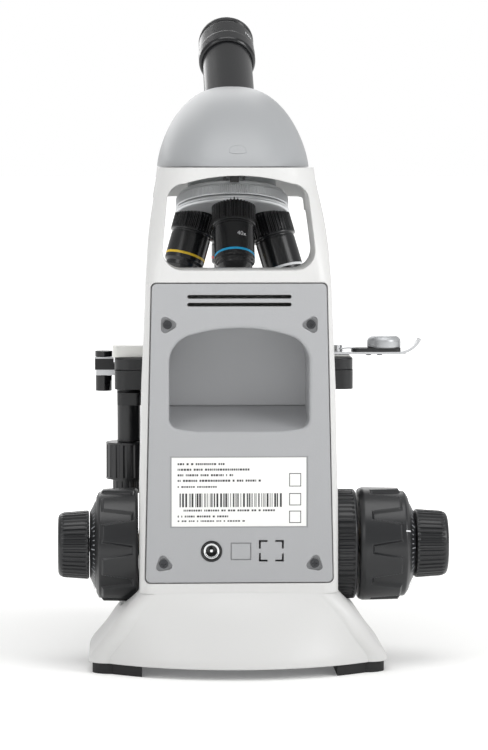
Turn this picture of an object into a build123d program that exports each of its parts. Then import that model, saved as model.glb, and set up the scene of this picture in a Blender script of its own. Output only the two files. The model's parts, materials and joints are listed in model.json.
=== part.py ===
"""Monocular laboratory microscope, one STEP file for every separate piece.

Millimetres, +Z up, the user stands on the -Y side.  Everything is laid out around the optical
axis of the microscope and moved by SHIFT at export, so that the origin ends up at the centre of
the footprint of the whole object, on the table.
"""
from build123d import *
import math
import os

os.makedirs("parts", exist_ok=True)

SHIFT = (9.2, -26.0, 0.0)      # from the optical axis to the centre of the bounding box

# ---- fits -------------------------------------------------------------------------------
GAP = 0.3                      # between pieces that move past each other
RUN = 0.05                     # radial clearance of a bearing

# ---- stand ------------------------------------------------------------------------------
FOOT_H = 5.8                   # rubber feet lift the skirt by this much
BACK_Y = 124.0                 # flat back of the column
FRONT_Y = 74.0                 # front face of the column
COLUMN = ((44.0, 53.75), (95.0, 53.6), (155.0, 52.2), (178.0, 51.2), (211.0, 49.9))
ARM = ((211.0, 49.9, 124.0, 8.0), (227.0, 48.9, 121.0, 11.0), (245.0, 47.0, 115.5, 16.0),
       (262.0, 43.9, 109.5, 21.0), (273.0, 42.25, 106.0, 24.0))
FLARE = ((5.8, 81.2, 145.0, 38.0), (9.0, 80.4, 144.4, 39.0), (20.0, 72.6, 139.0, 47.0),
         (30.5, 65.6, 133.7, 53.0), (40.5, 57.0, 126.8, 59.0), (44.5, 53.75, 124.0, 61.0))
ARM_TOP = 273.0
BRIDGE_LOW = 256.0             # lower edge of the bridge side walls
BASE_TOP = 50.0
BASE_FRONT = -76.0
WALL = 4.0

# ---- focus drive ------------------------------------------------------------------------
SHAFT_Y, SHAFT_Z = 79.0, 65.7
COARSE_R, TORQUE_R, FINE_R = 31.2, 30.2, 18.9
RING_X0, RING_X1 = -65.4, -54.2   # drag ring, between the left knob and the column
SHAFT_R, SHAFT_BORE = 6.0, 4.05
PINION_TEETH, GEAR_MODULE = 12, 1.0
RACK_X0, RACK_X1 = 18.0, 24.0

# ---- nosepiece --------------------------------------------------------------------------
TILT = 15.5                    # lean of the nosepiece axis, and of each objective on the disc
PIVOT_Y, PIVOT_Z = 19.13, 246.3
PITCH_R = 19.85                # objectives on this circle
DISC_R = 32.25

# ---- head -------------------------------------------------------------------------------
TUBE_ANGLE = 30.0              # above the horizontal
AXIS_MEET_Z = 299.0            # where the tube axis crosses the optical axis
TUBE_R, TUBE_BORE = 14.45, 11.65
EYE_SHOULDER, EYE_END, EYE_R = 69.3, 98.7, 16.65
HEAD = ((273.3, 42.25, 106.0, 24.0), (279.0, 40.9, 102.5, 24.5), (286.0, 38.7, 96.5, 25.0),
        (293.0, 36.8, 89.0, 25.0), (300.0, 34.2, 79.0, 24.0), (306.0, 29.8, 68.0, 21.0),
        (311.0, 24.0, 55.0, 17.0), (315.0, 16.6, 42.0, 12.0), (318.4, 6.0, 26.0, 4.0))

# ---- stage ------------------------------------------------------------------------------
STAGE_HALF, STAGE_REAR, STAGE_FRONT = 66.8, 50.0, -60.0
STAGE_TOP, UPPER_LOW, LOWER_LOW = 166.6, 160.0, 149.0
Y_TRAVEL = 15.0
DRIVE_X, DRIVE_Y = 58.7, 4.0
LOCK_X, LOCK_Y = 73.1, -28.0
CLIP_Y = 38.0
CLIP_PIVOT_X = -58.5
CLIP_DISC_X = -84.7

# ---- base -------------------------------------------------------------------------------
DIAL_Y, DIAL_Z = 24.0, 38.5


# ---- helpers ----------------------------------------------------------------------------
def box(x0, x1, y0, y1, z0, z1):
    """Box given by its limits."""
    return Pos((x0 + x1) / 2, (y0 + y1) / 2, (z0 + z1) / 2) * Box(x1 - x0, y1 - y0, z1 - z0)


def rod_z(radius, z0, z1, x=0.0, y=0.0):
    """Upright cylinder."""
    return Pos(x, y, (z0 + z1) / 2) * Cylinder(radius, z1 - z0)


def rod_x(radius, x0, x1, y, z):
    """Cylinder along X."""
    return Pos((x0 + x1) / 2, y, z) * Rot(0, 90, 0) * Cylinder(radius, x1 - x0)


def rod_y(radius, y0, y1, x, z):
    """Cylinder along Y."""
    return Pos(x, (y0 + y1) / 2, z) * Rot(90, 0, 0) * Cylinder(radius, y1 - y0)


def turned(points):
    """Solid of revolution about Z from (radius, height) points, closed along the axis."""
    return revolve(make_face(Plane.XZ * Polyline(*points, close=True)), Axis.Z)


def turned_x(points, y, z):
    """Solid of revolution about a line along X from (x, radius) points."""
    body = turned([(radius, x) for x, radius in points])
    return Pos(0, y, z) * Rot(0, 90, 0) * body


def corner(centre_x, centre_y, radius, from_angle, to_angle):
    """Quarter-circle edge."""
    def at(angle):
        turn = math.radians(angle)
        return (centre_x + radius * math.cos(turn), centre_y + radius * math.sin(turn))
    return ThreePointArc(at(from_angle), at((from_angle + to_angle) / 2), at(to_angle))


def plan(half, rear, front, rear_radius, front_radius):
    """Rounded rectangle seen from above, the rear corners and the front corners differ."""
    left, right = -half, half
    edges = [
        Line((right, front + front_radius), (right, rear - rear_radius)),
        corner(right - rear_radius, rear - rear_radius, rear_radius, 0, 90),
        Line((right - rear_radius, rear), (left + rear_radius, rear)),
        corner(left + rear_radius, rear - rear_radius, rear_radius, 90, 180),
        Line((left, rear - rear_radius), (left, front + front_radius)),
        corner(left + front_radius, front + front_radius, front_radius, 180, 270),
        Line((left + front_radius, front), (right - front_radius, front)),
        corner(right - front_radius, front + front_radius, front_radius, 270, 360),
    ]
    return make_face(edges)


def nose_plan(half, rear, rear_radius):
    """Seen from above: rounded at the rear, a half circle about the optical axis in front."""
    edges = [
        Line((half, 0), (half, rear - rear_radius)),
        corner(half - rear_radius, rear - rear_radius, rear_radius, 0, 90),
        Line((half - rear_radius, rear), (rear_radius - half, rear)),
        corner(rear_radius - half, rear - rear_radius, rear_radius, 90, 180),
        Line((-half, rear - rear_radius), (-half, 0)),
        corner(0, 0, half, 180, 360),
    ]
    return make_face(edges)


def skirt_plan(half, rear, front, inset=0.0):
    """Footprint of the flared skirt: the rear edge is one wide arc."""
    half, rear, front = half - inset, rear - inset, front + inset
    sag = (half / 81.2) ** 2 * 26.0 * max(0.02, (rear + inset - 123.9) / 21.0)
    edge = rear - sag
    cut = 11.0
    edges = [
        Line((half, front + cut), (half, edge - cut)),
        ThreePointArc((half, edge - cut), (half - cut * 0.27, edge - cut * 0.27), (half - cut, edge)),
        ThreePointArc((half - cut, edge), (0, rear), (cut - half, edge)),
        ThreePointArc((cut - half, edge), (cut * 0.27 - half, edge - cut * 0.27), (-half, edge - cut)),
        Line((-half, edge - cut), (-half, front + cut)),
        corner(cut - half, front + cut, cut, 180, 270),
        Line((cut - half, front), (half - cut, front)),
        corner(half - cut, front + cut, cut, 270, 360),
    ]
    return make_face(edges)


def fluted(body, count, radius, groove, x0, x1, y, z):
    """Cut equal grooves along X into the rim of a knob."""
    cuts = []
    for number in range(count):
        turn = 2 * math.pi * number / count
        cuts.append(rod_x(groove, x0, x1, y + radius * math.cos(turn), z + radius * math.sin(turn)))
    return body - cuts


# ---- stand ------------------------------------------------------------------------------
def back_outline(inset):
    """Outline of the rear cover in the XZ plane."""
    top, low = 211.0 - inset, 50.2 + inset
    wide, narrow = 50.35 - inset, 46.75 - inset
    face = make_face(Polyline((wide, low), (narrow, top), (-narrow, top), (-wide, low), close=True))
    return fillet(face.vertices(), 2.8)


def upright(face, y0, y1):
    """Extrude a face drawn in (x, z) from y0 to y1."""
    return extrude(Plane((0, y1, 0), x_dir=(1, 0, 0), z_dir=(0, -1, 0)) * face, y1 - y0)


def window_face():
    """The hand grip and window through the arm."""
    edges = [
        Line((30.0, 218.0), (-30.0, 218.0)),
        ThreePointArc((-30.0, 218.0), (-38.0, 221.3), (-40.9, 229.0)),
        Line((-40.9, 229.0), (-38.4, 255.0)),
        ThreePointArc((-38.4, 255.0), (-35.9, 261.2), (-29.0, 264.3)),
        ThreePointArc((-29.0, 264.3), (0.0, 268.6), (29.0, 264.3)),
        ThreePointArc((29.0, 264.3), (35.9, 261.2), (38.4, 255.0)),
        Line((38.4, 255.0), (40.9, 229.0)),
        ThreePointArc((40.9, 229.0), (38.0, 221.3), (30.0, 218.0)),
    ]
    return make_face(edges)


def column():
    """Straight part of the stand, flat at the back."""
    sections = [Pos(0, 0, z) * plan(half, BACK_Y, FRONT_Y, 8.0, 5.0) for z, half in COLUMN]
    return loft(sections, ruled=True)


def arm():
    """Upper part: two posts that bend forward into the bridge, hollow underneath."""
    outer = loft([Pos(0, 0, z) * nose_plan(half, rear, radius) for z, half, rear, radius in ARM])
    side = make_face([
        Line((130.0, 211.0), (130.0, ARM_TOP)),
        Line((130.0, ARM_TOP), (-60.0, ARM_TOP)),
        Line((-60.0, ARM_TOP), (-60.0, BRIDGE_LOW)),
        Line((-60.0, BRIDGE_LOW), (40.0, BRIDGE_LOW)),
        ThreePointArc((40.0, BRIDGE_LOW), (64.0, 246.0), (FRONT_Y, 222.0)),
        Line((FRONT_Y, 222.0), (FRONT_Y, 211.0)),
        Line((FRONT_Y, 211.0), (130.0, 211.0)),
    ])
    profile = extrude(Plane.YZ * side, 60, both=True)
    inner = Pos(0, 0, 235) * extrude(nose_plan(38.2, 92.0, 20.0), 34.0)
    return (outer & profile) - inner - upright(window_face(), 60, 130)


def base_shell():
    """Flared skirt at the rear and the lamp house in front, open at the bottom."""
    skirt = loft([Pos(0, 0, z) * skirt_plan(half, rear, front) for z, half, rear, front in FLARE])
    lamp = loft([Pos(0, 0, FOOT_H) * plan(58.0, 80.0, BASE_FRONT - 3, 5, 30),
                 Pos(0, 0, BASE_TOP) * plan(55.0, 80.0, BASE_FRONT, 5, 27)])
    rim = lamp.edges().filter_by_position(Axis.Z, BASE_TOP - 0.1, BASE_TOP + 0.1)
    lamp = fillet([edge for edge in rim if edge.center().Y < 75], 4.0)
    hollow = loft([Pos(0, 0, z - 3.6) * skirt_plan(half, rear, front, 3.6)
                   for z, half, rear, front in FLARE[:-1]])
    hollow = hollow + extrude(skirt_plan(81.2, 145.0, 38.0, 3.6), 8.2)
    well = extrude(plan(51.5, 84.0, BASE_FRONT + 3, 5, 24), BASE_TOP - WALL)
    return skirt, lamp, hollow, well


def stand_casting():
    """The one white casting: base, column, posts and bridge."""
    skirt, lamp, hollow, well = base_shell()
    solid = skirt + lamp + column() + arm()
    cavity = box(-45.5, 45.5, FRONT_Y + WALL, BACK_Y + 1, 52.0, 206.0)
    passage = box(-38, 38, 84, 116, 30, 56)
    body = solid - hollow - well - cavity - passage
    bosses = [rod_y(4.5, FRONT_Y + 2, BACK_Y - 4.0, x, z) for x, z in COVER_SCREWS]
    bosses += [rod_z(5.0, 7.7, 60.0, x, y) for x, y in BASE_SCREWS]
    bosses += [rod_y(6.0, -43.0, -21.5, 0, 267.0)]
    inside = body + [boss & solid for boss in bosses]
    cuts = [upright(back_outline(-0.6), BACK_Y - 4.0, BACK_Y + 5)]
    cuts += [rod_x(33.6, 53.9, 90, SHAFT_Y, SHAFT_Z), rod_x(33.6, -90, -53.9, SHAFT_Y, SHAFT_Z)]
    cuts += [rod_x(8.0, -70, 70, SHAFT_Y, SHAFT_Z)]
    cuts += [box(RACK_X0 - 2.5, RACK_X1 + 2.5, 63, 80, 30, 142)]
    cuts += [rod_z(20.3, 262, 280), rod_z(21.0, 40, 60), rod_y(3.0 + RUN, -60, -15, 0, 267.0)]
    cuts += [rod_x(3.0 + RUN, 48, 62, DIAL_Y, DIAL_Z)]
    cuts += [rod_y(1.45, BACK_Y - 14, BACK_Y, x, z) for x, z in COVER_SCREWS]
    cuts += [rod_z(1.5, 5, 18, x, y) for x, y in BASE_SCREWS]
    return inside - cuts


COVER_SCREWS = ((38.5, 189.0), (-38.5, 189.0), (40.7, 60.2), (-40.7, 60.2))
BASE_SCREWS = ((44.0, -50.0), (-44.0, -50.0), (62.0, 70.0), (-62.0, 70.0), (0.0, 128.0))


def recess_face(grow):
    """Arched opening of the storage recess in (x, z)."""
    g = grow
    edges = [
        ThreePointArc((33.0 + g * 0.5, 133.2 - g), (0.0, 130.4 - g), (-33.0 - g * 0.5, 133.2 - g)),
        ThreePointArc((-33.0 - g * 0.5, 133.2 - g), (-36.6 - g * 0.8, 135.3 - g * 0.8), (-37.6 - g, 139.5)),
        Line((-37.6 - g, 139.5), (-37.6 - g, 170.0)),
        ThreePointArc((-37.6 - g, 170.0), (-34.2 - g * 0.8, 178.2 + g * 0.6), (-25.5 - g * 0.5, 183.6 + g)),
        ThreePointArc((-25.5 - g * 0.5, 183.6 + g), (0.0, 187.2 + g), (25.5 + g * 0.5, 183.6 + g)),
        ThreePointArc((25.5 + g * 0.5, 183.6 + g), (34.2 + g * 0.8, 178.2 + g * 0.6), (37.6 + g, 170.0)),
        Line((37.6 + g, 170.0), (37.6 + g, 139.5)),
        ThreePointArc((37.6 + g, 139.5), (36.6 + g * 0.8, 135.3 - g * 0.8), (33.0 + g * 0.5, 133.2 - g)),
    ]
    return make_face(edges)


def pocket(x, z, spin):
    """Triangular pocket round a cover screw."""
    face = fillet(RegularPolygon(6.9, 3).vertices(), 2.2)
    return upright(Pos(x, z) * Rot(0, 0, spin) * face, BACK_Y - 2.2, BACK_Y + 1)


def rear_cover():
    """Plastic back panel with vents, storage recess, label recess and screw pockets."""
    panel = upright(back_outline(0), BACK_Y - 4.0, BACK_Y)
    panel -= upright(back_outline(2.5), BACK_Y - 4.1, BACK_Y - 3.0) - [
        rod_y(6.0, BACK_Y - 5, BACK_Y, x, z) for x, z in COVER_SCREWS]
    tub = upright(recess_face(2.0), 84.0, BACK_Y - 2.9)
    inside = upright(recess_face(0), 86.0, BACK_Y + 1)
    ramp = make_face(Plane.YZ * Polyline((130, 127), (130, 129.5), (86, 142.6), (80, 142.6), (80, 127),
                                         close=True))
    inside -= extrude(ramp, 60, both=True)
    panel = panel + tub - inside
    rim = [edge for edge in panel.edges().filter_by_position(Axis.Y, BACK_Y - 0.05, BACK_Y + 0.05)
           if abs(edge.center().X) < 40 and 129 < edge.center().Z < 190]
    panel = fillet(rim, 1.8)
    cuts = [upright(Pos(0, z) * SlotOverall(55.8, 2.0), 115, 130) for z in (204.0, 199.8)]
    cuts += [pocket(x, z, (180 if x > 0 else 0) + (0 if z > 100 else math.copysign(20, x)))
             for x, z in COVER_SCREWS]
    cuts += [box(-37.4, 37.4, 85.1, 86.5, 142.3, 143.0)]
    cuts += [rod_y(1.75, 115, 130, x, z) for x, z in COVER_SCREWS]
    cuts += [box(-36.8, 37.2, BACK_Y - 0.5, 130, 79.9, 118.2)]
    cuts += [rod_y(5.75, 115, 130, 15.0, 67.1)]
    cuts += [frame_cut(-0.8, 67.0, 11.0, 9.4, 0.5), *corner_slots(-17.2, 67.2)]
    return panel - cuts


def frame_cut(x, z, width, height, line):
    """Thin groove round a blank plate."""
    ring = Rectangle(width, height) - Rectangle(width - 2 * line, height - 2 * line)
    return upright(Pos(x, z) * ring, BACK_Y - 0.6, BACK_Y + 1)


def corner_slots(x, z):
    """Four L-shaped slots of a knock-out."""
    half_w, half_h, line, leg = 6.7, 5.8, 1.0, 4.6
    slots = []
    for sx in (1, -1):
        for sz in (1, -1):
            across = box(x + sx * half_w - (leg if sx > 0 else 0), x + sx * half_w + (0 if sx > 0 else leg),
                         118, 130, z + sz * half_h - (line if sz > 0 else 0),
                         z + sz * half_h + (0 if sz > 0 else line))
            down = box(x + sx * half_w - (line if sx > 0 else 0), x + sx * half_w + (0 if sx > 0 else line),
                       118, 130, z + sz * half_h - (leg if sz > 0 else 0),
                       z + sz * half_h + (0 if sz > 0 else leg))
            slots += [across, down]
    return slots


def cover_screws():
    """Four cross-recess screws that hold the rear cover."""
    screws = []
    for x, z in COVER_SCREWS:
        head = rod_y(2.4, BACK_Y - 2.2, BACK_Y - 0.6, x, z) + rod_y(1.4, BACK_Y - 13, BACK_Y - 2.2, x, z)
        cross = box(x - 1.4, x + 1.4, BACK_Y - 1.4, BACK_Y, z - 0.3, z + 0.3)
        cross += box(x - 0.3, x + 0.3, BACK_Y - 1.4, BACK_Y, z - 1.4, z + 1.4)
        screws.append(head - cross)
    return screws


def rating_label():
    """Sticker in the shallow recess of the cover."""
    return box(-36.0, 36.4, BACK_Y - 0.5, BACK_Y - 0.35, 80.5, 117.6)


def power_jack():
    """Round low-voltage inlet."""
    shell = rod_y(5.7, 110, BACK_Y - 0.2, 15.0, 67.1) - rod_y(4.45, BACK_Y - 1.0, BACK_Y, 15.0, 67.1)
    shell -= rod_y(2.95, 112, BACK_Y, 15.0, 67.1)
    return shell + rod_y(1.25, 111, BACK_Y - 1.6, 15.0, 67.1)


def base_plate():
    """Steel sheet that closes the base."""
    outline = skirt_plan(81.2, 145.0, 38.0, 3.9) + plan(51.2, 80.0, BASE_FRONT + 3.3, 5, 23.5)
    sheet = Pos(0, 0, 6.2) * extrude(outline, 1.5)
    slots = [box(x - 1.2, x + 1.2, -30, 10, 5, 9) for x in (-24, -16, -8, 0, 8, 16, 24)]
    return sheet - [rod_z(1.7, 5, 9, x, y) for x, y in BASE_SCREWS] - slots


def base_screws():
    """Screws of the base plate."""
    return [rod_z(3.0, 4.4, 6.2, x, y) + rod_z(1.45, 6.2, 16, x, y) for x, y in BASE_SCREWS]


def rubber_feet():
    """Two wide pads that follow the rear edge of the skirt, two round ones in front."""
    tread = extrude(skirt_plan(81.2, 145.0, 38.0, 1.7), FOOT_H)
    rear = [(tread & box(*limits, 98, 140, 0, FOOT_H)) + box(*plug, 104, 118, FOOT_H, 6.2)
            for limits, plug in (((52.5, 79.2), (56, 72)), ((-79.2, -52.5), (-72, -56)))]
    front = [rod_z(11.0, 0, 6.2, x, -34) - rod_z(6, -1, 1, x, -34) for x in (36.0, -36.0)]
    return rear + front


def circuit_board():
    """Lamp driver board on the base plate side, in front."""
    board = box(-37, 37, -68, -36, 16.0, 17.6)
    parts = [box(-34, -20, -60, -46, 17.6, 27), box(-12, 4, -62, -50, 17.6, 21)]
    parts += [rod_z(4.0, 17.6, 30, 16, -54), rod_z(3.0, 17.6, 25, 27, -52)]
    legs = [rod_z(2.0, 7.7, 16.0, x, y) for x in (-33, 33) for y in (-64, -40)]
    return board + parts + legs


def heat_sink():
    """Finned block under the lamp."""
    block = box(-20, 20, -20, 20, 7.7, 24)
    return block - [box(x - 1.2, x + 1.2, -21, 21, 11, 25) for x in range(-17, 18, 5)] + box(
        -20, 20, -20, 20, 24, 27)


def led_module():
    """Lamp board with its emitter."""
    return rod_z(12, 27, 28.6) + box(-3.5, 3.5, -3.5, 3.5, 28.6, 30.0) + rod_z(2.2, 30, 31.2)


def collector_cell():
    """Black ring round the lamp lens on the base."""
    ring = rod_z(20.9, 44, 50.0) + turned([(0, 50.0), (26.5, 50.0), (26.5, 53), (25, 58), (23, 60), (0, 60)])
    return ring - rod_z(18.0, 40, 56.5) - rod_z(20.0, 56.5, 61)


def collector_lens():
    """Frosted lamp lens."""
    dome = turned([(0, 56.5), (19.9, 56.5), (19.9, 58.0), (14, 60.4), (7, 61.6), (0, 62.0)])
    return dome


# ---- focus drive ------------------------------------------------------------------------
def shaft_bushings():
    """Bearings of the focus shaft in the column walls; the left one carries the torque ring."""
    right = rod_x(8.0, 43, 53.8, SHAFT_Y, SHAFT_Z)
    left = rod_x(8.0, RING_X0 - 0.2, -43, SHAFT_Y, SHAFT_Z)
    left += rod_x(12.0, RING_X0 - 0.2, -53.9, SHAFT_Y, SHAFT_Z)
    bore = rod_x(SHAFT_R + RUN, -80, 80, SHAFT_Y, SHAFT_Z)
    return [right - bore, left - bore]


def gear_face():
    """Twelve straight trapezoid teeth on the coarse shaft."""
    pitch = PINION_TEETH * GEAR_MODULE / 2
    root, tip = pitch - 1.0, pitch + 0.75
    points = []
    for tooth in range(PINION_TEETH):
        turn = 2 * math.pi * tooth / PINION_TEETH
        for offset, radius in ((-0.17, root), (-0.07, tip), (0.07, tip), (0.17, root)):
            angle = turn + offset
            points.append((radius * math.cos(angle), radius * math.sin(angle)))
    return make_face(Polyline(*points, close=True))


def coarse_shaft():
    """Hollow shaft with the pinion that lifts the stage."""
    tube = rod_x(SHAFT_R, -90, -26, SHAFT_Y, SHAFT_Z) + rod_x(SHAFT_R, 26.5, 70, SHAFT_Y, SHAFT_Z)
    waist = rod_x(5.0, -26, 26.5, SHAFT_Y, SHAFT_Z)
    pinion = Pos(RACK_X0 - 1, SHAFT_Y, SHAFT_Z) * Rot(0, 90, 0) * extrude(gear_face(), 8.0)
    return tube + waist + pinion - rod_x(SHAFT_BORE, -95, 95, SHAFT_Y, SHAFT_Z)


def coarse_knobs():
    """Large focus knobs, one on each side."""
    left = turned_x([(-66.6, 6.0), (-66.6, 30.0), (-69.3, COARSE_R), (-89.5, 30.8), (-89.5, 29.2),
                     (-93.0, 28.6), (-94.4, 26.4), (-98.0, 19.3), (-98.0, 6.0)], SHAFT_Y, SHAFT_Z)
    right = turned_x([(54.2, 6.0), (54.2, 30.4), (55.2, COARSE_R), (73.8, 30.8), (73.8, 29.2),
                      (76.2, 28.6), (77.2, 26.4), (80.7, 19.3), (80.7, 6.0)], SHAFT_Y, SHAFT_Z)
    left = fluted(left, 10, COARSE_R + 2.6, 4.2, -95, -73.7, SHAFT_Y, SHAFT_Z)
    right = fluted(right, 10, COARSE_R + 2.6, 4.2, 57.2, 80, SHAFT_Y, SHAFT_Z)
    return [left, right]


def fine_shaft():
    """Inner shaft of the fine focus."""
    return rod_x(SHAFT_BORE - RUN, -112, 94, SHAFT_Y, SHAFT_Z)


def fine_knobs():
    """Small focus knobs outside the large ones."""
    bore = SHAFT_BORE - RUN
    left = turned_x([(-98.4, bore), (-98.4, 18.3), (-99.2, FINE_R), (-110, 18.3), (-114.8, 17.4),
                     (-116.4, 15.6), (-116.4, 0), (-112, 0), (-112, bore)], SHAFT_Y, SHAFT_Z)
    right = turned_x([(81.1, bore), (81.1, 18.3), (81.9, FINE_R), (92, 18.3), (96.6, 17.4),
                      (98.1, 15.6), (98.1, 0), (94, 0), (94, bore)], SHAFT_Y, SHAFT_Z)
    left = fluted(left, 30, FINE_R, 1.1, -108, -100.5, SHAFT_Y, SHAFT_Z)
    right = fluted(right, 30, FINE_R, 1.1, 83.5, 90.5, SHAFT_Y, SHAFT_Z)
    return [left, right]


def torque_ring():
    """Ring that sets the drag of the coarse focus."""
    ring = rod_x(TORQUE_R, RING_X0, RING_X1, SHAFT_Y, SHAFT_Z)
    ring -= rod_x(12.0 + RUN, -70, -50, SHAFT_Y, SHAFT_Z)
    return fluted(ring, 48, TORQUE_R + 0.4, 0.9, RING_X0 + 1.6, RING_X1 + 1, SHAFT_Y, SHAFT_Z)


def focus_rail():
    """T-shaped guide bolted to the front of the column."""
    rail = box(-12, 12, 70, FRONT_Y, 78, 198) + box(-16, 16, 66.4, 70, 78, 198)
    return rail - [rod_y(2.2, 65, 68.5, 0, z) for z in (84, 120, 156, 192)]


def focus_block():
    """Carriage of the coarse focus, it wraps the rail."""
    block = box(-27, 27, 54, 73.4, 86, 146)
    block -= box(-12.3, 12.3, 66, 75, 80, 150)
    block -= box(-16.3, 16.3, 66.1, 70.3, 80, 150)
    return block - box(RACK_X0, RACK_X1, 66, 75, 80, 150)


def focus_rack():
    """Toothed bar on the focus block, it meets the pinion of the coarse shaft."""
    pitch_y = SHAFT_Y - PINION_TEETH * GEAR_MODULE / 2
    bar = box(RACK_X0, RACK_X1, 66.0, pitch_y - 1.0, 37, 110)
    step = math.pi * GEAR_MODULE
    teeth = []
    for number in range(-9, 14):
        z = SHAFT_Z + step * (number + 0.5)
        shape = Polyline((pitch_y - 1.0, z - 1.1), (pitch_y + 0.7, z - 0.45), (pitch_y + 0.7, z + 0.45),
                         (pitch_y - 1.0, z + 1.1), close=True)
        teeth.append(Pos(RACK_X0, 0, 0) * extrude(make_face(Plane.YZ * shape), RACK_X1 - RACK_X0))
    return bar + teeth


# ---- stage ------------------------------------------------------------------------------
def stage_bracket():
    """Carrier of the stage and the condenser, guided by the focus block for the fine focus."""
    wall = box(-32, 32, 44, 53.7, 90, LOWER_LOW)
    cheeks = box(27.3, 32, 53.7, 64, 92, 142) + box(-32, -27.3, 53.7, 64, 92, 142)
    shelf = box(-44, 44, -36, 53.7, 143, LOWER_LOW)
    lug = box(-33, -22, 33, 44, 112, 124)
    body = wall + cheeks + shelf + lug
    body -= rod_z(24.5, 140, 150)
    body -= box(-6, 6, 43, 49, 80, 143)
    return body - rod_x(3.0 + RUN, -36, -24, 38.5, 118)


def lower_stage_plate():
    """Fixed lower layer of the mechanical stage."""
    face = fillet(Rectangle(2 * STAGE_HALF, 106).vertices(), 6)
    slab = Pos(0, -3, LOWER_LOW) * extrude(face, UPPER_LOW - GAP - LOWER_LOW)
    slab -= rod_z(20, 140, 170)
    slab -= box(51.2, 80, DRIVE_Y - 23, DRIVE_Y + 23, 140, 170)
    return slab - [box(x - 4.3, x + 4.3, -60, 60, 156.0, 165) for x in (38, -38)]


def upper_stage_plate():
    """Upper layer, it slides front to back."""
    face = fillet(Rectangle(2 * STAGE_HALF, STAGE_REAR - STAGE_FRONT).vertices(), 8)
    slab = Pos(0, (STAGE_REAR + STAGE_FRONT) / 2, UPPER_LOW) * extrude(face, STAGE_TOP - UPPER_LOW)
    slab = fillet(slab.edges().filter_by_position(Axis.Z, STAGE_TOP - 0.1, STAGE_TOP + 0.1), 1.0)
    ribs = [box(x - 4, x + 4, -50, 46, 156.3, UPPER_LOW) for x in (38, -38)]
    slot = Pos(0, 0, 150) * extrude(SlotOverall(66, 34, rotation=90), 20)
    return slab + ribs - slot


def drive_housing():
    """Block and tube of the coaxial stage drive, under the upper plate."""
    block = box(51.6, 65.4, -16, 24, 138.3, 145.3)
    block = fillet(block.edges().filter_by(Axis.Z), 3)
    tube = rod_z(6.65, 116.4, UPPER_LOW, DRIVE_X, DRIVE_Y)
    return block + tube - rod_z(4.5 + RUN, 110, UPPER_LOW - 2, DRIVE_X, DRIVE_Y)


def stage_y_knob():
    """Upper coaxial knob on a hollow shaft."""
    knob = rod_z(13.15, 95.0, 116.1, DRIVE_X, DRIVE_Y) + rod_z(4.5, 116.1, 152, DRIVE_X, DRIVE_Y)
    flutes = [rod_z(1.5, 96.2, 114.9, DRIVE_X + 14.0 * math.cos(k * math.pi / 9),
                    DRIVE_Y + 14.0 * math.sin(k * math.pi / 9)) for k in range(18)]
    return knob - flutes - rod_z(2.9 + RUN, 90, 160, DRIVE_X, DRIVE_Y)


def stage_x_knob():
    """Lower coaxial knob on a solid shaft."""
    knob = rod_z(9.4, 88.5, 94.7, DRIVE_X, DRIVE_Y) + rod_z(10.9, 87.4, 88.5, DRIVE_X, DRIVE_Y)
    knob += rod_z(2.9, 94.7, 155, DRIVE_X, DRIVE_Y)
    flutes = [rod_z(0.9, 88.5, 93.9, DRIVE_X + 9.9 * math.cos(k * math.pi / 8),
                    DRIVE_Y + 9.9 * math.sin(k * math.pi / 8)) for k in range(16)]
    return knob - flutes


def x_carriage():
    """Slide holder bar on top of the stage with the fixed jaw for the glass slide."""
    low, high = STAGE_TOP + GAP, 173.2
    bar = box(-50, 67.9, 30, 46, low, high)
    bar = fillet(bar.edges().filter_by(Axis.Z), 2.5)
    jaw = box(27, 45, -2, 30, low, low + 2.0)
    arm_bar = box(-65, -50, 33, 43, low, low + 0.9)
    return bar + jaw + arm_bar - rod_z(1.6, 160, 180, CLIP_PIVOT_X, CLIP_Y)


def slide_finger():
    """Sprung lever that presses the glass slide against the jaw."""
    low = STAGE_TOP + GAP + 1.2
    strip = box(-97, CLIP_PIVOT_X + 4, CLIP_Y - 4.5, CLIP_Y + 4.5, low, low + 1.4)
    strip = fillet(strip.edges().filter_by(Axis.Z), 2)
    tab = Plane.XZ * make_face([
        Line((-93.5, low), (-93.5, low + 1.4)),
        ThreePointArc((-93.5, low + 1.4), (-99.4, 171.6), (-104.3, 177.2)),
        Line((-104.3, 177.2), (-105.4, 176.4)),
        ThreePointArc((-105.4, 176.4), (-100.1, 170.4), (-93.5, low)),
    ])
    tab = Pos(0, CLIP_Y, 0) * extrude(tab, 5.0, both=True)
    finger = box(-62, -55, 12, CLIP_Y, low, low + 1.4) + box(-62, -30, 8, 14, low, low + 1.4)
    pin = rod_z(1.55, 166.95, 173.2, CLIP_PIVOT_X, CLIP_Y) + rod_z(2.6, low + 1.4, 173.2, CLIP_PIVOT_X, CLIP_Y)
    return strip + tab + finger + pin


def clip_plate():
    """Black pad on the lever, under the disc."""
    low = STAGE_TOP + GAP + 2.6
    pad = box(-93.8, -66.5, CLIP_Y - 7, CLIP_Y + 7, low, low + 2.2)
    pad = fillet(pad.edges().filter_by(Axis.Z), 3)
    return pad


def clip_disc():
    """Turned aluminium disc on the lever."""
    disc = rod_z(9.4, 171.7, 178.2, CLIP_DISC_X, CLIP_Y)
    return fillet(disc.edges().filter_by_position(Axis.Z, 178.1, 178.3), 1.8)


def lock_bracket():
    """Black block on the edge of the lower stage plate."""
    block = box(STAGE_HALF, 78.2, LOCK_Y - 6, LOCK_Y + 6, 155.6, 159.3)
    block += box(STAGE_HALF + 0.5, 78.2, LOCK_Y - 6, LOCK_Y + 6, 159.3, 162.0)
    return block - rod_z(1.8 + RUN, 150, 170, LOCK_X, LOCK_Y)


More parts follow.
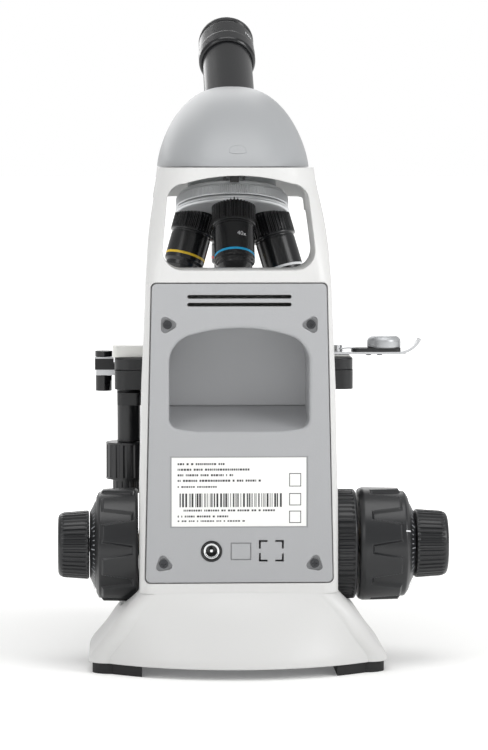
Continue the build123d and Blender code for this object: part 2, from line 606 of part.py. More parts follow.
def lock_plate():
    """Metal plates under and on top of the lock bracket."""
    hole = rod_z(1.8 + RUN, 150, 170, LOCK_X, LOCK_Y)
    lower = box(STAGE_HALF, 77.5, LOCK_Y - 5.5, LOCK_Y + 5.5, 152.4, 155.6)
    upper = box(STAGE_HALF + 0.6, 78.3, LOCK_Y - 5.5, LOCK_Y + 5.5, 162.0, 162.9)
    return [lower - hole, upper - hole]


def lock_screw():
    """Travel lock: disc on top, grip below, one spindle."""
    grip = rod_z(4.7, 143.2, 152.1, LOCK_X, LOCK_Y)
    disc = rod_z(5.0, 163.2, 166.3, LOCK_X, LOCK_Y)
    return grip + disc + rod_z(1.8, 152.1, 163.2, LOCK_X, LOCK_Y)


# ---- condenser --------------------------------------------------------------------------
def condenser_mount():
    """Ring and arm that carry the condenser on the bracket."""
    ring = rod_z(29.0, 112, 124) + box(-9, 9, 20, 43.7, 112, 124) + box(-5.7, 5.7, 43.7, 48.7, 106, 130)
    return ring - rod_z(22.0, 110, 126) - rod_z(1.8 + RUN, 110, 118, -25.5, 0)


def condenser_body():
    """Abbe condenser, black."""
    body = turned([(0, 108), (22.0, 108), (22.0, 140), (18, 142), (18, 150), (14, 153), (14, 163.4),
                   (0, 163.4)])
    return body - rod_z(16, 107, 138) - rod_z(12, 137, 156) - rod_z(10.0, 155, 164)


def condenser_lens():
    """Top lens of the condenser."""
    return rod_z(10.0, 158, 163.7) - rod_z(12, 163.7, 170)


def iris_lever():
    """Ring with a lever that works the diaphragm."""
    ring = rod_z(25.0, 126, 129) - rod_z(22.0 + RUN, 125, 130)
    lever = box(-1.6, 1.6, -44, -24, 126, 129)
    return ring + lever + rod_z(3.2, 126, 132, 0, -44)


def filter_holder():
    """Swing-out ring under the condenser."""
    ring = rod_z(19.5, 103.8, 107.6) + box(-27.5, -15, -3, 3, 103.8, 107.6)
    ring -= rod_z(16.0, 105.0, 110)
    ring -= rod_z(14.5, 100, 110)
    ring += rod_z(1.8, 107.6, 117, -25.5, 0)
    return ring + box(-2, 2, -26, -18.5, 103.8, 107.6)


def filter_glass():
    """Blue daylight filter."""
    return rod_z(15.9, 105.0, 107.0)


def condenser_knob():
    """Small knob that lifts the condenser."""
    knob = rod_x(11.0, -47, -34, 38.5, 118) + rod_x(3.0, -34, -24.5, 38.5, 118)
    return fluted(knob, 24, 11.3, 0.9, -48, -36, 38.5, 118)


# ---- nosepiece --------------------------------------------------------------------------
DISC_PLANE = Plane((0, PIVOT_Y, PIVOT_Z), x_dir=(1, 0, 0),
                   z_dir=(0, -math.sin(math.radians(TILT)), math.cos(math.radians(TILT))))


def on_disc(shape, spin=None):
    """Place a shape drawn at the origin on the tilted nosepiece, or on one of its four places."""
    if spin is None:
        return DISC_PLANE.location * shape
    return DISC_PLANE.location * Rot(0, 0, spin) * Pos(0, -PITCH_R, 0) * Rot(-TILT, 0, 0) * shape


SPINS = (0, 90, 180, 270)


def nosepiece_mount():
    """Fixed part under the bridge that carries the rotating disc."""
    post = on_disc(rod_z(25.0, 11.3, 45.0) + rod_z(6.0, -2.0, 11.3))
    post = post & box(-40, 40, -40, 60, 200, 269.0)
    return post - rod_z(20.8, 265.5, 270) - rod_z(12.5, 240, 275)


def detent_spring():
    """Leaf spring at the back of the nosepiece."""
    leaf = box(-2.5, 2.5, 51.0, 53.0, 264.7, 269.0)
    ribs = box(-6.0, -4.6, 50.0, 54.0, 266.0, 269.0) + box(4.6, 6.0, 50.0, 54.0, 266.0, 269.0)
    return leaf + box(-6.0, 6.0, 50.0, 54.0, 267.6, 269.0) + ribs


def nosepiece_disc():
    """Rotating disc with four threaded places."""
    disc = on_disc(turned([(0, -0.6), (27, -0.6), (DISC_R, 1.2), (DISC_R, 3.0), (29.5, 3.6), (29.5, 9.2),
                           (27.5, 11.0), (0, 11.0)]))
    holes = [on_disc(rod_z(10.1, -1.0, 14.0), spin) for spin in SPINS]
    seats = [on_disc(rod_z(12.5, -20.0, 0.0), spin) for spin in SPINS]
    return disc - seats - holes - on_disc(rod_z(6.0 + RUN, -3, 12))


def nosepiece_grip():
    """Knurled ring round the disc."""
    ring = rod_z(DISC_R - 0.2, 3.7, 9.2) - rod_z(29.5, 3, 10)
    knurl = [rod_z(0.7, 3, 10, 32.4 * math.cos(k * math.pi / 30), 32.4 * math.sin(k * math.pi / 30))
             for k in range(60)]
    return on_disc(ring - knurl)


def objective(spin, length, collar, step, tip_radius, rib_count):
    """One objective: threaded stub, ribbed collar, barrel, stepped nose."""
    nose = length - 4.5
    points = [(0, 5.0), (10.05, 5.0), (10.05, 0.0), (12.3, 0.0), (12.3, -collar), (11.2, -collar - 0.8),
              (11.2, -step), (9.7, -step - 1.2), (9.7, -nose), (tip_radius, -length), (0, -length)]
    body = turned(points)
    ribs = [rod_z(0.75, -collar + 1.0, -1.0, 12.7 * math.cos(2 * math.pi * k / rib_count),
                  12.7 * math.sin(2 * math.pi * k / rib_count)) for k in range(rib_count)]
    bore = rod_z(8.0, -length + 8, 6) + rod_z(tip_radius - 1.5, -length - 1, 0)
    return on_disc(body - ribs - bore, spin)


OBJECTIVES = (("objective_4x", 0, 30.0, 10.5, 22.5, 8.0), ("objective_10x", 90, 37.0, 12.0, 29.0, 7.0),
              ("objective_40x", 180, 44.5, 14.6, 36.5, 6.0), ("objective_100x", 270, 44.6, 14.6, 36.5, 5.0))


def objective_lenses():
    """Front lenses of the four objectives."""
    return [on_disc(rod_z(tip - 1.5, -length + 0.4, -length + 2.4), spin)
            for _, spin, length, _, _, tip in OBJECTIVES]


# ---- head -------------------------------------------------------------------------------
TUBE_PLANE = Plane((0, 0, AXIS_MEET_Z), x_dir=(1, 0, 0),
                   z_dir=(0, -math.cos(math.radians(TUBE_ANGLE)), math.sin(math.radians(TUBE_ANGLE))))


def on_tube(shape):
    """Place a shape drawn along Z on the axis of the eyepiece tube."""
    return TUBE_PLANE.location * shape


def cap_face(grow):
    """Fan-shaped cap over the prism screw, in (x, z)."""
    face = make_face(Polyline((-4.8, 285.2), (4.8, 285.2), (0.0, 279.6), close=True))
    return offset(fillet(face.vertices(), 1.2), grow) if grow else fillet(face.vertices(), 1.2)


def head_shell():
    """Gray dome that turns on the arm."""
    dome = loft([Pos(0, 0, z) * nose_plan(half, rear, radius) for z, half, rear, radius in HEAD])
    inner = loft([Pos(0, 0, z - 3.0) * nose_plan(half - 3.0, rear - 3.4, max(radius - 3.0, 1.0))
                  for z, half, rear, radius in HEAD[1:]])
    body = dome - inner - rod_z(14.0, 270, 280)
    body -= on_tube(rod_z(TUBE_R, 12, 90))
    return body - upright(cap_face(0), 88, 110)


def head_cap():
    """Small cap in the back of the dome."""
    cap = upright(cap_face(0), 94.0, 100.4)
    return cap


def head_ring():
    """Round foot of the head, it turns in the arm."""
    ring = rod_z(20.2, 266, 273.3) - rod_z(16, 260, 275)
    return ring


def roof_prism():
    """Prism that bends the light into the tube."""
    face = Plane.YZ * Polyline((-11, 288), (11, 288), (11, 303), (3, 310), (-11, 300), close=True)
    block = extrude(make_face(face), 10.0, both=True)
    return block + box(-10, 10, -8, 8, 276.3, 288) - rod_z(6, 270, 287)


def eyepiece_tube():
    """Inclined tube."""
    tube = rod_z(TUBE_R, 15, EYE_SHOULDER) - rod_z(TUBE_BORE, 14, 80)
    return on_tube(tube)


def eyepiece_barrel():
    """Eyepiece: sleeve in the tube, grip outside, flat rim with a groove."""
    low, high = EYE_SHOULDER + GAP, EYE_END
    outer = turned([(0, low), (15.6, low), (EYE_R, low + 1.2), (EYE_R, low + 10), (EYE_R - 0.4, high - 6.4),
                    (EYE_R - 1.2, high - 5.6), (EYE_R - 1.2, high - 4.6), (EYE_R - 0.3, high - 4.0),
                    (EYE_R - 0.4, high - 0.8), (EYE_R - 1.4, high), (0, high)])
    sleeve = rod_z(TUBE_BORE - RUN, 45, low)
    bore = rod_z(9.8, 40, 95) + rod_z(10.5, 94, 99)
    return on_tube(outer + sleeve - bore)


def eyepiece_lenses():
    """Lens next to the eye and lens at the lower end of the eyepiece."""
    eye = on_tube(turned([(0, 89), (9.8, 89), (9.8, 92.5), (5, 93.6), (0, 94.0)]))
    field = on_tube(turned([(0, 48.6), (5, 49), (9.8, 50), (9.8, 52.5), (0, 52.5)]))
    return [eye, field]


def head_clamp_screw():
    """Thumb screw that holds the head."""
    screw = rod_y(2.95, -46, -20.8, 0, 267.0) + rod_y(5.4, -54, -46, 0, 267.0)
    return screw - box(-6, 6, -55, -53, 266.5, 267.5)


def brightness_dial():
    """Lamp dial on the right side of the base."""
    dial = turned_x([(57.4, 0), (57.4, 12.5), (64.6, 11.6), (66.0, 10.4), (66.0, 0)], DIAL_Y, DIAL_Z)
    dial = fluted(dial, 28, 12.6, 0.7, 58.8, 68, DIAL_Y, DIAL_Z)
    return dial + rod_x(2.95, 50, 57.4, DIAL_Y, DIAL_Z)


# ---- export -----------------------------------------------------------------------------
def save(name, shape):
    """Write one node, moved into the shared frame."""
    if isinstance(shape, (list, tuple, ShapeList)):
        shape = Compound(children=[Pos(*SHIFT) * piece for piece in shape])
    else:
        shape = Pos(*SHIFT) * shape
    export_step(shape, f"parts/{name}.step")
    size = shape.bounding_box()
    print(f"{name:20s} {size.min.X:8.1f} {size.max.X:8.1f} {size.min.Y:8.1f} {size.max.Y:8.1f}"
          f" {size.min.Z:8.1f} {size.max.Z:8.1f}  volume {shape.volume:10.0f}")


PIECES = (
    stand_casting, rear_cover, cover_screws, rating_label, power_jack, base_plate, base_screws, rubber_feet,
    circuit_board, heat_sink, led_module, collector_cell, collector_lens, shaft_bushings, coarse_shaft,
    coarse_knobs, fine_shaft, fine_knobs, torque_ring, focus_rail, focus_block, focus_rack, stage_bracket,
    lower_stage_plate, upper_stage_plate, drive_housing, stage_y_knob, stage_x_knob, x_carriage,
    slide_finger, clip_plate, clip_disc, lock_bracket, lock_plate, lock_screw, condenser_mount,
    condenser_body, condenser_lens, iris_lever, filter_holder, filter_glass, condenser_knob,
    nosepiece_mount, detent_spring, nosepiece_disc, nosepiece_grip, objective_lenses, head_shell, head_cap,
    head_ring, roof_prism, eyepiece_tube, eyepiece_barrel, eyepiece_lenses, head_clamp_screw,
    brightness_dial,
)

for piece in PIECES:
    save(piece.__name__, piece())
for name, spin, length, collar, step, tip in OBJECTIVES:
    save(name, objective(spin, length, collar, step, tip, 40))
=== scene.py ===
"""Looks of the monocular laboratory microscope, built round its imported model.

Every class below is one sub-assembly: its fields are sizes in millimetres, measured from the
optical axis of the instrument, and its methods build and dress the pieces that ride on the bodies
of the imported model.
"""

import json
import logging
import math
from dataclasses import dataclass, replace
from enum import Enum
from typing import Callable, Optional, Sequence

import bmesh
import bpy
import numpy as np
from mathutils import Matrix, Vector

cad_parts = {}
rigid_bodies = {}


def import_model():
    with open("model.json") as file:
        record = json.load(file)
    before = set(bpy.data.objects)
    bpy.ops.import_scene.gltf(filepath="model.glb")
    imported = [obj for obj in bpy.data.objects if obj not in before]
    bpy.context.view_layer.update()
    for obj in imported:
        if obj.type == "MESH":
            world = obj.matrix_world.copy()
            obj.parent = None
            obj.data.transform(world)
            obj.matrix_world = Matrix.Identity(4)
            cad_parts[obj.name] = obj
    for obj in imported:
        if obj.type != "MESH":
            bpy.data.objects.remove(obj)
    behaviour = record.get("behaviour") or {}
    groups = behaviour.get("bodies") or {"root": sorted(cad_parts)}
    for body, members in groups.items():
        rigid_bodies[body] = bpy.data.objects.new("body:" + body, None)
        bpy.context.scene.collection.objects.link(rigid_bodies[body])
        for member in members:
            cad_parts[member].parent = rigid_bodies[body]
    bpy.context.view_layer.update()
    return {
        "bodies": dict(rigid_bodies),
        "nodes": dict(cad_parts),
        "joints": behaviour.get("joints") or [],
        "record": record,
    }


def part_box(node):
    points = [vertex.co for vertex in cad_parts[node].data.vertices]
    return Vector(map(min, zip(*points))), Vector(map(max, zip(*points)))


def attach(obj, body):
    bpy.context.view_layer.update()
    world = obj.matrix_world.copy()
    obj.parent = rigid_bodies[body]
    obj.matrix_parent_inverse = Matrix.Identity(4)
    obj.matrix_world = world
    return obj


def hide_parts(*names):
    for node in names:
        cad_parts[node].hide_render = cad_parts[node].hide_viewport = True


LOG = logging.getLogger("microscope")
MM = 0.001

Points = np.ndarray
Relief = Callable[[np.ndarray, np.ndarray], np.ndarray]


# ---- colour and shader helpers ----------------------------------------------------------
def linear(hex_colour: str, alpha: float = 1.0) -> tuple[float, float, float, float]:
    """Turn an sRGB hex colour into linear light.

    Args:
        hex_colour: six hex digits, such as "e8e8e4".
        alpha: opacity put in the fourth place.

    Returns:
        Red, green, blue and alpha for a shader socket.
    """
    levels = [int(hex_colour[i:i + 2], 16) / 255 for i in (0, 2, 4)]
    light = [v / 12.92 if v <= 0.04045 else ((v + 0.055) / 1.055) ** 2.4 for v in levels]
    return light[0], light[1], light[2], alpha


def add_node(tree: bpy.types.NodeTree, kind: str, settings: Optional[dict] = None,
             inputs: Optional[dict] = None) -> bpy.types.Node:
    """Add one shader node.

    Args:
        tree: node tree of the material.
        kind: Blender's type name of the node.
        settings: attributes set on the node itself.
        inputs: socket name or number to a value, or to an output socket to link from.

    Returns:
        The new node.
    """
    new = tree.nodes.new(kind)
    for key, value in (settings or {}).items():
        setattr(new, key, value)
    for key, value in (inputs or {}).items():
        if isinstance(value, bpy.types.NodeSocket):
            tree.links.new(value, new.inputs[key])
        else:
            new.inputs[key].default_value = value
    return new


class Pattern(Enum):
    """How the skin of a finish was made."""
    SMOOTH = "smooth"
    GRAIN = "grain"
    BRUSHED_X = "brushed along X"
    TURNED = "turned on a lathe"


@dataclass(frozen=True)
class Finish:
    """One material, made from its base colour, gloss and surface pattern.

    The pattern is drawn on Object coordinates, in metres, so its scale is one over the size
    of a grain.
    """
    name: str
    colour: str
    roughness: float
    metallic: float = 0.0
    ior: float = 1.5
    pattern: Pattern = Pattern.SMOOTH
    grain_mm: float = 0.5
    bump: float = 0.0
    mottling: float = 0.0
    edge_mm: float = 0.0
    transmission: float = 0.0
    centre: tuple[float, float, float] = (0.0, 0.0, 0.0)

    def build(self) -> bpy.types.Material:
        """Make the material, or return the one already made under this name."""
        made = bpy.data.materials.get(self.name)
        if made:
            return made
        material = bpy.data.materials.new(self.name)
        material.use_nodes = True
        tree = material.node_tree
        tree.nodes.clear()
        colour = linear(self.colour)
        shader = add_node(tree, "ShaderNodeBsdfPrincipled", inputs={
            "Base Color": colour, "Metallic": self.metallic, "Roughness": self.roughness,
            "IOR": self.ior, "Transmission Weight": self.transmission})
        add_node(tree, "ShaderNodeOutputMaterial", inputs={"Surface": shader.outputs[0]})
        material.diffuse_color = colour
        normal = None
        if self.edge_mm:
            normal = add_node(tree, "ShaderNodeBevel", {"samples": 6},
                              {"Radius": self.edge_mm * MM}).outputs[0]
        height = self.height(tree) if self.bump or self.mottling else None
        if height and self.bump:
            bump = add_node(tree, "ShaderNodeBump", inputs={
                "Strength": self.bump, "Distance": self.grain_mm * MM * 0.25, "Height": height})
            if normal:
                tree.links.new(normal, bump.inputs["Normal"])
            normal = bump.outputs[0]
        if height and self.mottling:
            shade = add_node(tree, "ShaderNodeMapRange", inputs={
                0: height, "To Min": self.roughness - self.mottling,
                "To Max": self.roughness + self.mottling})
            tree.links.new(shade.outputs[0], shader.inputs["Roughness"])
        if normal:
            tree.links.new(normal, shader.inputs["Normal"])
        return material

    def height(self, tree: bpy.types.NodeTree) -> bpy.types.NodeSocket:
        """Add the nodes of the surface pattern.

        Args:
            tree: node tree of the material.

        Returns:
            Socket with the height of the skin, about 0 to 1.
        """
        place = add_node(tree, "ShaderNodeTexCoord").outputs["Object"]
        per_metre = 1000 / self.grain_mm
        if self.pattern is Pattern.TURNED:
            moved = add_node(tree, "ShaderNodeMapping", {"vector_type": "TEXTURE"}, {
                "Vector": place, "Location": [c * MM for c in self.centre]})
            rings = add_node(tree, "ShaderNodeTexWave", {
                "wave_type": "RINGS", "rings_direction": "Z", "wave_profile": "SIN"}, {
                "Vector": moved.outputs[0], "Scale": per_metre / 10, "Distortion": 1.5,
                "Detail": 3.0})
            return rings.outputs[1]
        if self.pattern is Pattern.BRUSHED_X:
            moved = add_node(tree, "ShaderNodeMapping", inputs={
                "Vector": place, "Scale": (per_metre * 0.04, per_metre, per_metre)})
            return add_node(tree, "ShaderNodeTexNoise", inputs={
                "Vector": moved.outputs[0], "Scale": 1.0, "Detail": 3.0}).outputs[0]
        return add_node(tree, "ShaderNodeTexNoise", inputs={
            "Vector": place, "Scale": per_metre, "Detail": 3.0, "Roughness": 0.6}).outputs[0]


# White epoxy powder paint on die-cast aluminium: smooth, soft gloss, with a faint orange peel.
WHITE_PAINT = Finish("white_powder_paint", "d0d0cf", 0.38, grain_mm=1.4, bump=0.07,
                     mottling=0.04, edge_mm=1.0, pattern=Pattern.GRAIN)
# Light gray lacquer on the head: satin, with a fine spray texture.
HEAD_PAINT = Finish("gray_head_lacquer", "9c9ea0", 0.40, grain_mm=0.8, bump=0.10,
                    mottling=0.04, pattern=Pattern.GRAIN)
# Moulded ABS with a spark-eroded grain, drawn at 0.8 mm so that it shows.
COVER_PLASTIC = Finish("grained_gray_abs", "a3a4a6", 0.55, grain_mm=0.8, bump=0.30,
                       mottling=0.07, edge_mm=0.5, pattern=Pattern.GRAIN)
# Moulded black ABS of the knobs: nearly black with a satin sheen and a matt grain.
KNOB_PLASTIC = Finish("black_knob_abs", "1c1d1f", 0.30, grain_mm=0.5, bump=0.14,
                      mottling=0.06, pattern=Pattern.GRAIN)
# Black paint on the aluminium of the stage and the brackets: satin, slightly rough.
BLACK_PAINT = Finish("black_stage_paint", "151618", 0.38, grain_mm=0.45, bump=0.12,
                     mottling=0.05, edge_mm=0.4, pattern=Pattern.GRAIN)
# Black lacquer of the objectives and the tube: smooth, with clear highlights.
BARREL_BLACK = Finish("black_barrel_lacquer", "141517", 0.22, grain_mm=0.5, bump=0.04,
                      mottling=0.04, pattern=Pattern.GRAIN)
# Glossy black nylon of small turned grips: mirror-like highlights.
GLOSS_BLACK = Finish("glossy_black_nylon", "0d0d0f", 0.16, edge_mm=0.3)
# Natural rubber compound: dull black.
RUBBER = Finish("black_rubber", "19191a", 0.72, grain_mm=0.5, bump=0.2, pattern=Pattern.GRAIN)
# Brushed stainless steel: fine lines along X, bright.
STEEL = Finish("brushed_steel", "c3c4c6", 0.30, metallic=1.0, grain_mm=0.35, bump=0.10,
               mottling=0.06, pattern=Pattern.BRUSHED_X)
# Blackened steel of the cover screws: dark gray with small glints.
DARK_STEEL = Finish("blackened_steel_screw", "444547", 0.34, metallic=0.9, edge_mm=0.2)
# Aluminium faced on a lathe: fine rings about the axis of the disc.
TURNED_DISC = Finish("turned_aluminium_disc", "b4b6b8", 0.42, metallic=0.6, grain_mm=0.5,
                     bump=0.05, mottling=0.05, pattern=Pattern.TURNED)
# Satin anodised aluminium: even silver gray.
SATIN_ALUMINIUM = Finish("satin_aluminium", "b4b7ba", 0.34, metallic=0.9, grain_mm=0.4,
                         bump=0.06, mottling=0.05, pattern=Pattern.GRAIN)
# Satin chrome of the nosepiece rotor: silver gray, brushed by the lathe.
SATIN_CHROME = Finish("satin_chromed_rotor", "d3d5d7", 0.32, metallic=0.5, grain_mm=0.35,
                      bump=0.05, mottling=0.06, pattern=Pattern.GRAIN)
# Gray enamel on the fixed half of the nosepiece: satin, darker than the head.
MOUNT_PAINT = Finish("gray_mount_enamel", "a5a8aa", 0.42, grain_mm=0.8, bump=0.08,
                     mottling=0.04, pattern=Pattern.GRAIN)
# Machined brass: warm yellow.
BRASS = Finish("machined_brass", "c79a52", 0.30, metallic=1.0)
# Nickel plate on the contacts of the inlet: bright.
NICKEL = Finish("nickel_plated_contact", "d8d9da", 0.18, metallic=1.0)
# Coated optical glass: clear with a faint blue.
LENS = Finish("coated_lens_glass", "dfe8ef", 0.04, ior=1.52, transmission=0.9)
# Blue daylight filter glass.
BLUE_FILTER = Finish("blue_filter_glass", "5f86e8", 0.05, ior=1.52, transmission=0.8)
# White polyester label film: smooth.
PAPER = Finish("white_polyester_label", "ececea", 0.34)
# Printing ink: matt black.
INK = Finish("black_printing_ink", "26272a", 0.45)
# White moulded acetal of the slide holder: slightly waxy.
WHITE_ACETAL = Finish("white_acetal", "dcdcd8", 0.38, grain_mm=0.5, bump=0.12,
                      edge_mm=0.5, pattern=Pattern.GRAIN)
# Green solder mask on glass-fibre board.
BOARD = Finish("green_circuit_board", "1d5a38", 0.30)
# Paint in the engraved marks and the colour rings.
GRAY_INK = Finish("gray_engraving_paint", "8d9093", 0.45)
WHITE_INK = Finish("white_engraving_paint", "d9dadc", 0.45)
RED_INK = Finish("red_ring_paint", "c8322d", 0.35)
YELLOW_INK = Finish("yellow_ring_paint", "e2bd2a", 0.35)
CYAN_INK = Finish("cyan_ring_paint", "1cade4", 0.32)


# ---- surface helpers --------------------------------------------------------------------
def axis_origin() -> Vector:
    """Foot of the optical axis on the table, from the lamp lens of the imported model, in metres."""
    low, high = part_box("collector_lens")
    return Vector(((low.x + high.x) / 2, (low.y + high.y) / 2, 0.0))


@dataclass
class Piece:
    """One finished surface: its mesh, the body it rides on and the nodes it stands for."""
    name: str
    body: str
    finish: Finish
    slot: str
    replaces: tuple[str, ...] = ()

    def build(self, grids: Sequence[Points], rings: Sequence[bool]) -> bpy.types.Object:
        """Join grids of points into one mesh.

        Vertex (i, j) of a grid makes a face with (i + 1, j), (i + 1, j + 1) and (i, j + 1); the
        second index wraps round where the grid is a ring.

        Args:
            grids: arrays (rows, columns, 3) in millimetres from the optical axis.
            rings: for each grid, whether its columns close on themselves.

        Returns:
            The dressed object.
        """
        points, faces, start = [], [], 0
        for grid, ring in zip(grids, rings):
            rows, columns = grid.shape[:2]
            index = np.arange(rows * columns).reshape(rows, columns) + start
            across = np.roll(index, -1, axis=1)
            if not ring:
                index, across = index[:, :-1], across[:, :-1]
            quads = np.stack([index[:-1], across[:-1], across[1:], index[1:]], axis=-1)
            faces.append(quads.reshape(-1, 4))
            points.append(grid.reshape(-1, 3))
            start += rows * columns
        mesh = bpy.data.meshes.new(self.name)
        origin = np.array(axis_origin())
        mesh.from_pydata((np.concatenate(points) * MM + origin).tolist(), [],
                         np.concatenate(faces).tolist())
        return self.dress(mesh)

    def dress(self, mesh: bpy.types.Mesh) -> bpy.types.Object:
        """Close the poles, turn faces outwards, shade, and hang the piece on its body.

        Args:
            mesh: mesh in the row frame, in metres.

        Returns:
            The finished object.
        """
        work = bmesh.new()
        work.from_mesh(mesh)
        bmesh.ops.remove_doubles(work, verts=work.verts, dist=2e-6)
        bmesh.ops.dissolve_degenerate(work, edges=work.edges, dist=1e-7)
        bmesh.ops.recalc_face_normals(work, faces=work.faces)
        work.to_mesh(mesh)
        work.free()
        mesh.shade_smooth()
        made = bpy.data.objects.new(self.name, mesh)
        bpy.context.scene.collection.objects.link(made)
        mesh.set_sharp_from_angle(angle=math.radians(38))
        mesh.materials.append(self.finish.build())
        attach(made, self.body)
        if self.replaces:
            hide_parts(*self.replaces)
        LOG.info("piece %s on %s, %d faces", self.name, self.body, len(mesh.polygons))
        return made


def rounded(corners: Sequence[tuple[float, float, float]], steps: int = 5) -> Points:
    """Outline with rounded corners.

    At a corner with radius r the outline leaves each side r·tan(turn / 2) before the corner and
    follows a quadratic blend P(t) = (1-t)² A + 2t(1-t) C + t² B between the two points.

    Args:
        corners: (x, y, radius) of each corner, the first and the last keep their place.
        steps: points on each rounded corner.

    Returns:
        Array (n, 2).
    """
    spots = np.array([c[:2] for c in corners], float)
    out = [spots[:1]]
    t = np.linspace(0, 1, steps)[:, None]
    for before, here, after, (_, _, radius) in zip(spots, spots[1:], spots[2:], corners[1:-1]):
        back, ahead = before - here, after - here
        reach = min(radius, np.linalg.norm(back) * 0.49, np.linalg.norm(ahead) * 0.49)
        a = here + back / (np.linalg.norm(back) + 1e-9) * reach
        b = here + ahead / (np.linalg.norm(ahead) + 1e-9) * reach
        out.append((1 - t) ** 2 * a + 2 * t * (1 - t) * here + t ** 2 * b)
    out.append(spots[-1:])
    return np.concatenate(out)


def divided(outline: Points, longest: float) -> Points:
    """Split the long straight runs of an outline so that no step is longer than asked.

    Args:
        outline: array (n, 2).
        longest: longest step kept.

    Returns:
        Array (m, 2), m at least n.
    """
    length = np.concatenate([[0], np.cumsum(np.linalg.norm(np.diff(outline, axis=0), axis=1))])
    extra = np.arange(longest, length[-1], longest)
    along = np.unique(np.concatenate([length, extra]).round(5))
    return np.stack([np.interp(along, length, outline[:, 0]),
                     np.interp(along, length, outline[:, 1])], axis=1)


def turned(outline: Points, sides: int, relief: Optional[Relief] = None) -> Points:
    """Surface of revolution about Z: (r cos a, r sin a, h) with r = radius + relief(a, h).

    Args:
        outline: (radius, height) points.
        sides: points round the circle.
        relief: radial relief in millimetres, a function of the angle and the height.

    Returns:
        Grid (n, sides, 3).
    """
    angle = np.linspace(0, 2 * np.pi, sides, endpoint=False)[None, :]
    radius, height = outline[:, :1], outline[:, 1:]
    reach = radius + (relief(angle, height) if relief else 0) * (radius > 0.01)
    return np.stack([reach * np.cos(angle), reach * np.sin(angle),
                     height + 0 * angle], axis=-1)


def along_x(grid: Points, y: float, z: float) -> Points:
    """Lay a surface drawn about Z along X through (y, z): height becomes x."""
    return np.stack([grid[..., 2], y + grid[..., 0], z + grid[..., 1]], axis=-1)


def moved(grid: Points, turn: Points, place: Sequence[float]) -> Points:
    """Turn a grid by a 3x3 matrix and move it: p' = R p + t."""
    return grid @ turn.T + np.array(place)


def step_wave(phase: np.ndarray, sharp: float) -> np.ndarray:
    """Rounded trapezoid wave, 0 to 1: 0.5 + 0.5 clip(sharp · cos phase, -1, 1)."""
    return 0.5 + 0.5 * np.clip(sharp * np.cos(phase), -1, 1)


def window(value: np.ndarray, low: float, high: float, soft: float) -> np.ndarray:
    """1 between low and high, falling to 0 over the soft distance on both sides."""
    return np.clip((value - low) / soft, 0, 1) * np.clip((high - value) / soft, 0, 1)


def tilt_about_x(degrees: float) -> Points:
    """Rotation matrix about X."""
    c, s = math.cos(math.radians(degrees)), math.sin(math.radians(degrees))
    return np.array([[1, 0, 0], [0, c, -s], [0, s, c]])


def spin_about_z(degrees: float) -> Points:
    """Rotation matrix about Z."""
    c, s = math.cos(math.radians(degrees)), math.sin(math.radians(degrees))
    return np.array([[c, -s, 0], [s, c, 0], [0, 0, 1]])


def text_points(words: str, size: float) -> tuple[bpy.types.Mesh, Points]:
    """Flat text as a mesh.

    Args:
        words: what it says, a magnification only.
        size: height of the letters in millimetres.

    Returns:
        The mesh, and its points in millimetres with the text centred on x = 0.
    """
    curve = bpy.data.curves.new("mark_text", "FONT")
    curve.body = words
    curve.size = size * MM
    curve.resolution_u = 3
    holder = bpy.data.objects.new("mark_text", curve)
    bpy.context.scene.collection.objects.link(holder)
    bpy.context.view_layer.update()
    flat = bpy.data.meshes.new_from_object(holder.evaluated_get(
        bpy.context.evaluated_depsgraph_get()))
    bpy.data.objects.remove(holder)
    spots = np.zeros(len(flat.vertices) * 3)
    flat.vertices.foreach_get("co", spots)
    spots = spots.reshape(-1, 3) / MM
    spots[:, 0] -= (spots[:, 0].min() + spots[:, 0].max()) / 2
    return flat, spots


def wrapped(spots: Points, reach: float, degrees: float, height: float) -> Points:
    """Bend flat text round the Z axis: a = a0 + x / reach, h = h0 + y.

    Args:
        spots: points of the text.
        reach: radius of the barrel.
        degrees: angle of the middle of the text.
        height: height of its base line.

    Returns:
        Array (n, 3).
    """
    angle = math.radians(degrees) + spots[:, 0] / reach
    return np.stack([reach * np.cos(angle), reach * np.sin(angle), height + spots[:, 1]], axis=-1)


def dress_nodes(frame: dict, finish: Finish, *names: str) -> None:
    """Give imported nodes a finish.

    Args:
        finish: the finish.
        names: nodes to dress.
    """
    for name in names:
        mesh = frame["nodes"][name].data
        mesh.materials.clear()
        mesh.materials.append(finish.build())
        LOG.info("node %s in %s", name, finish.name)


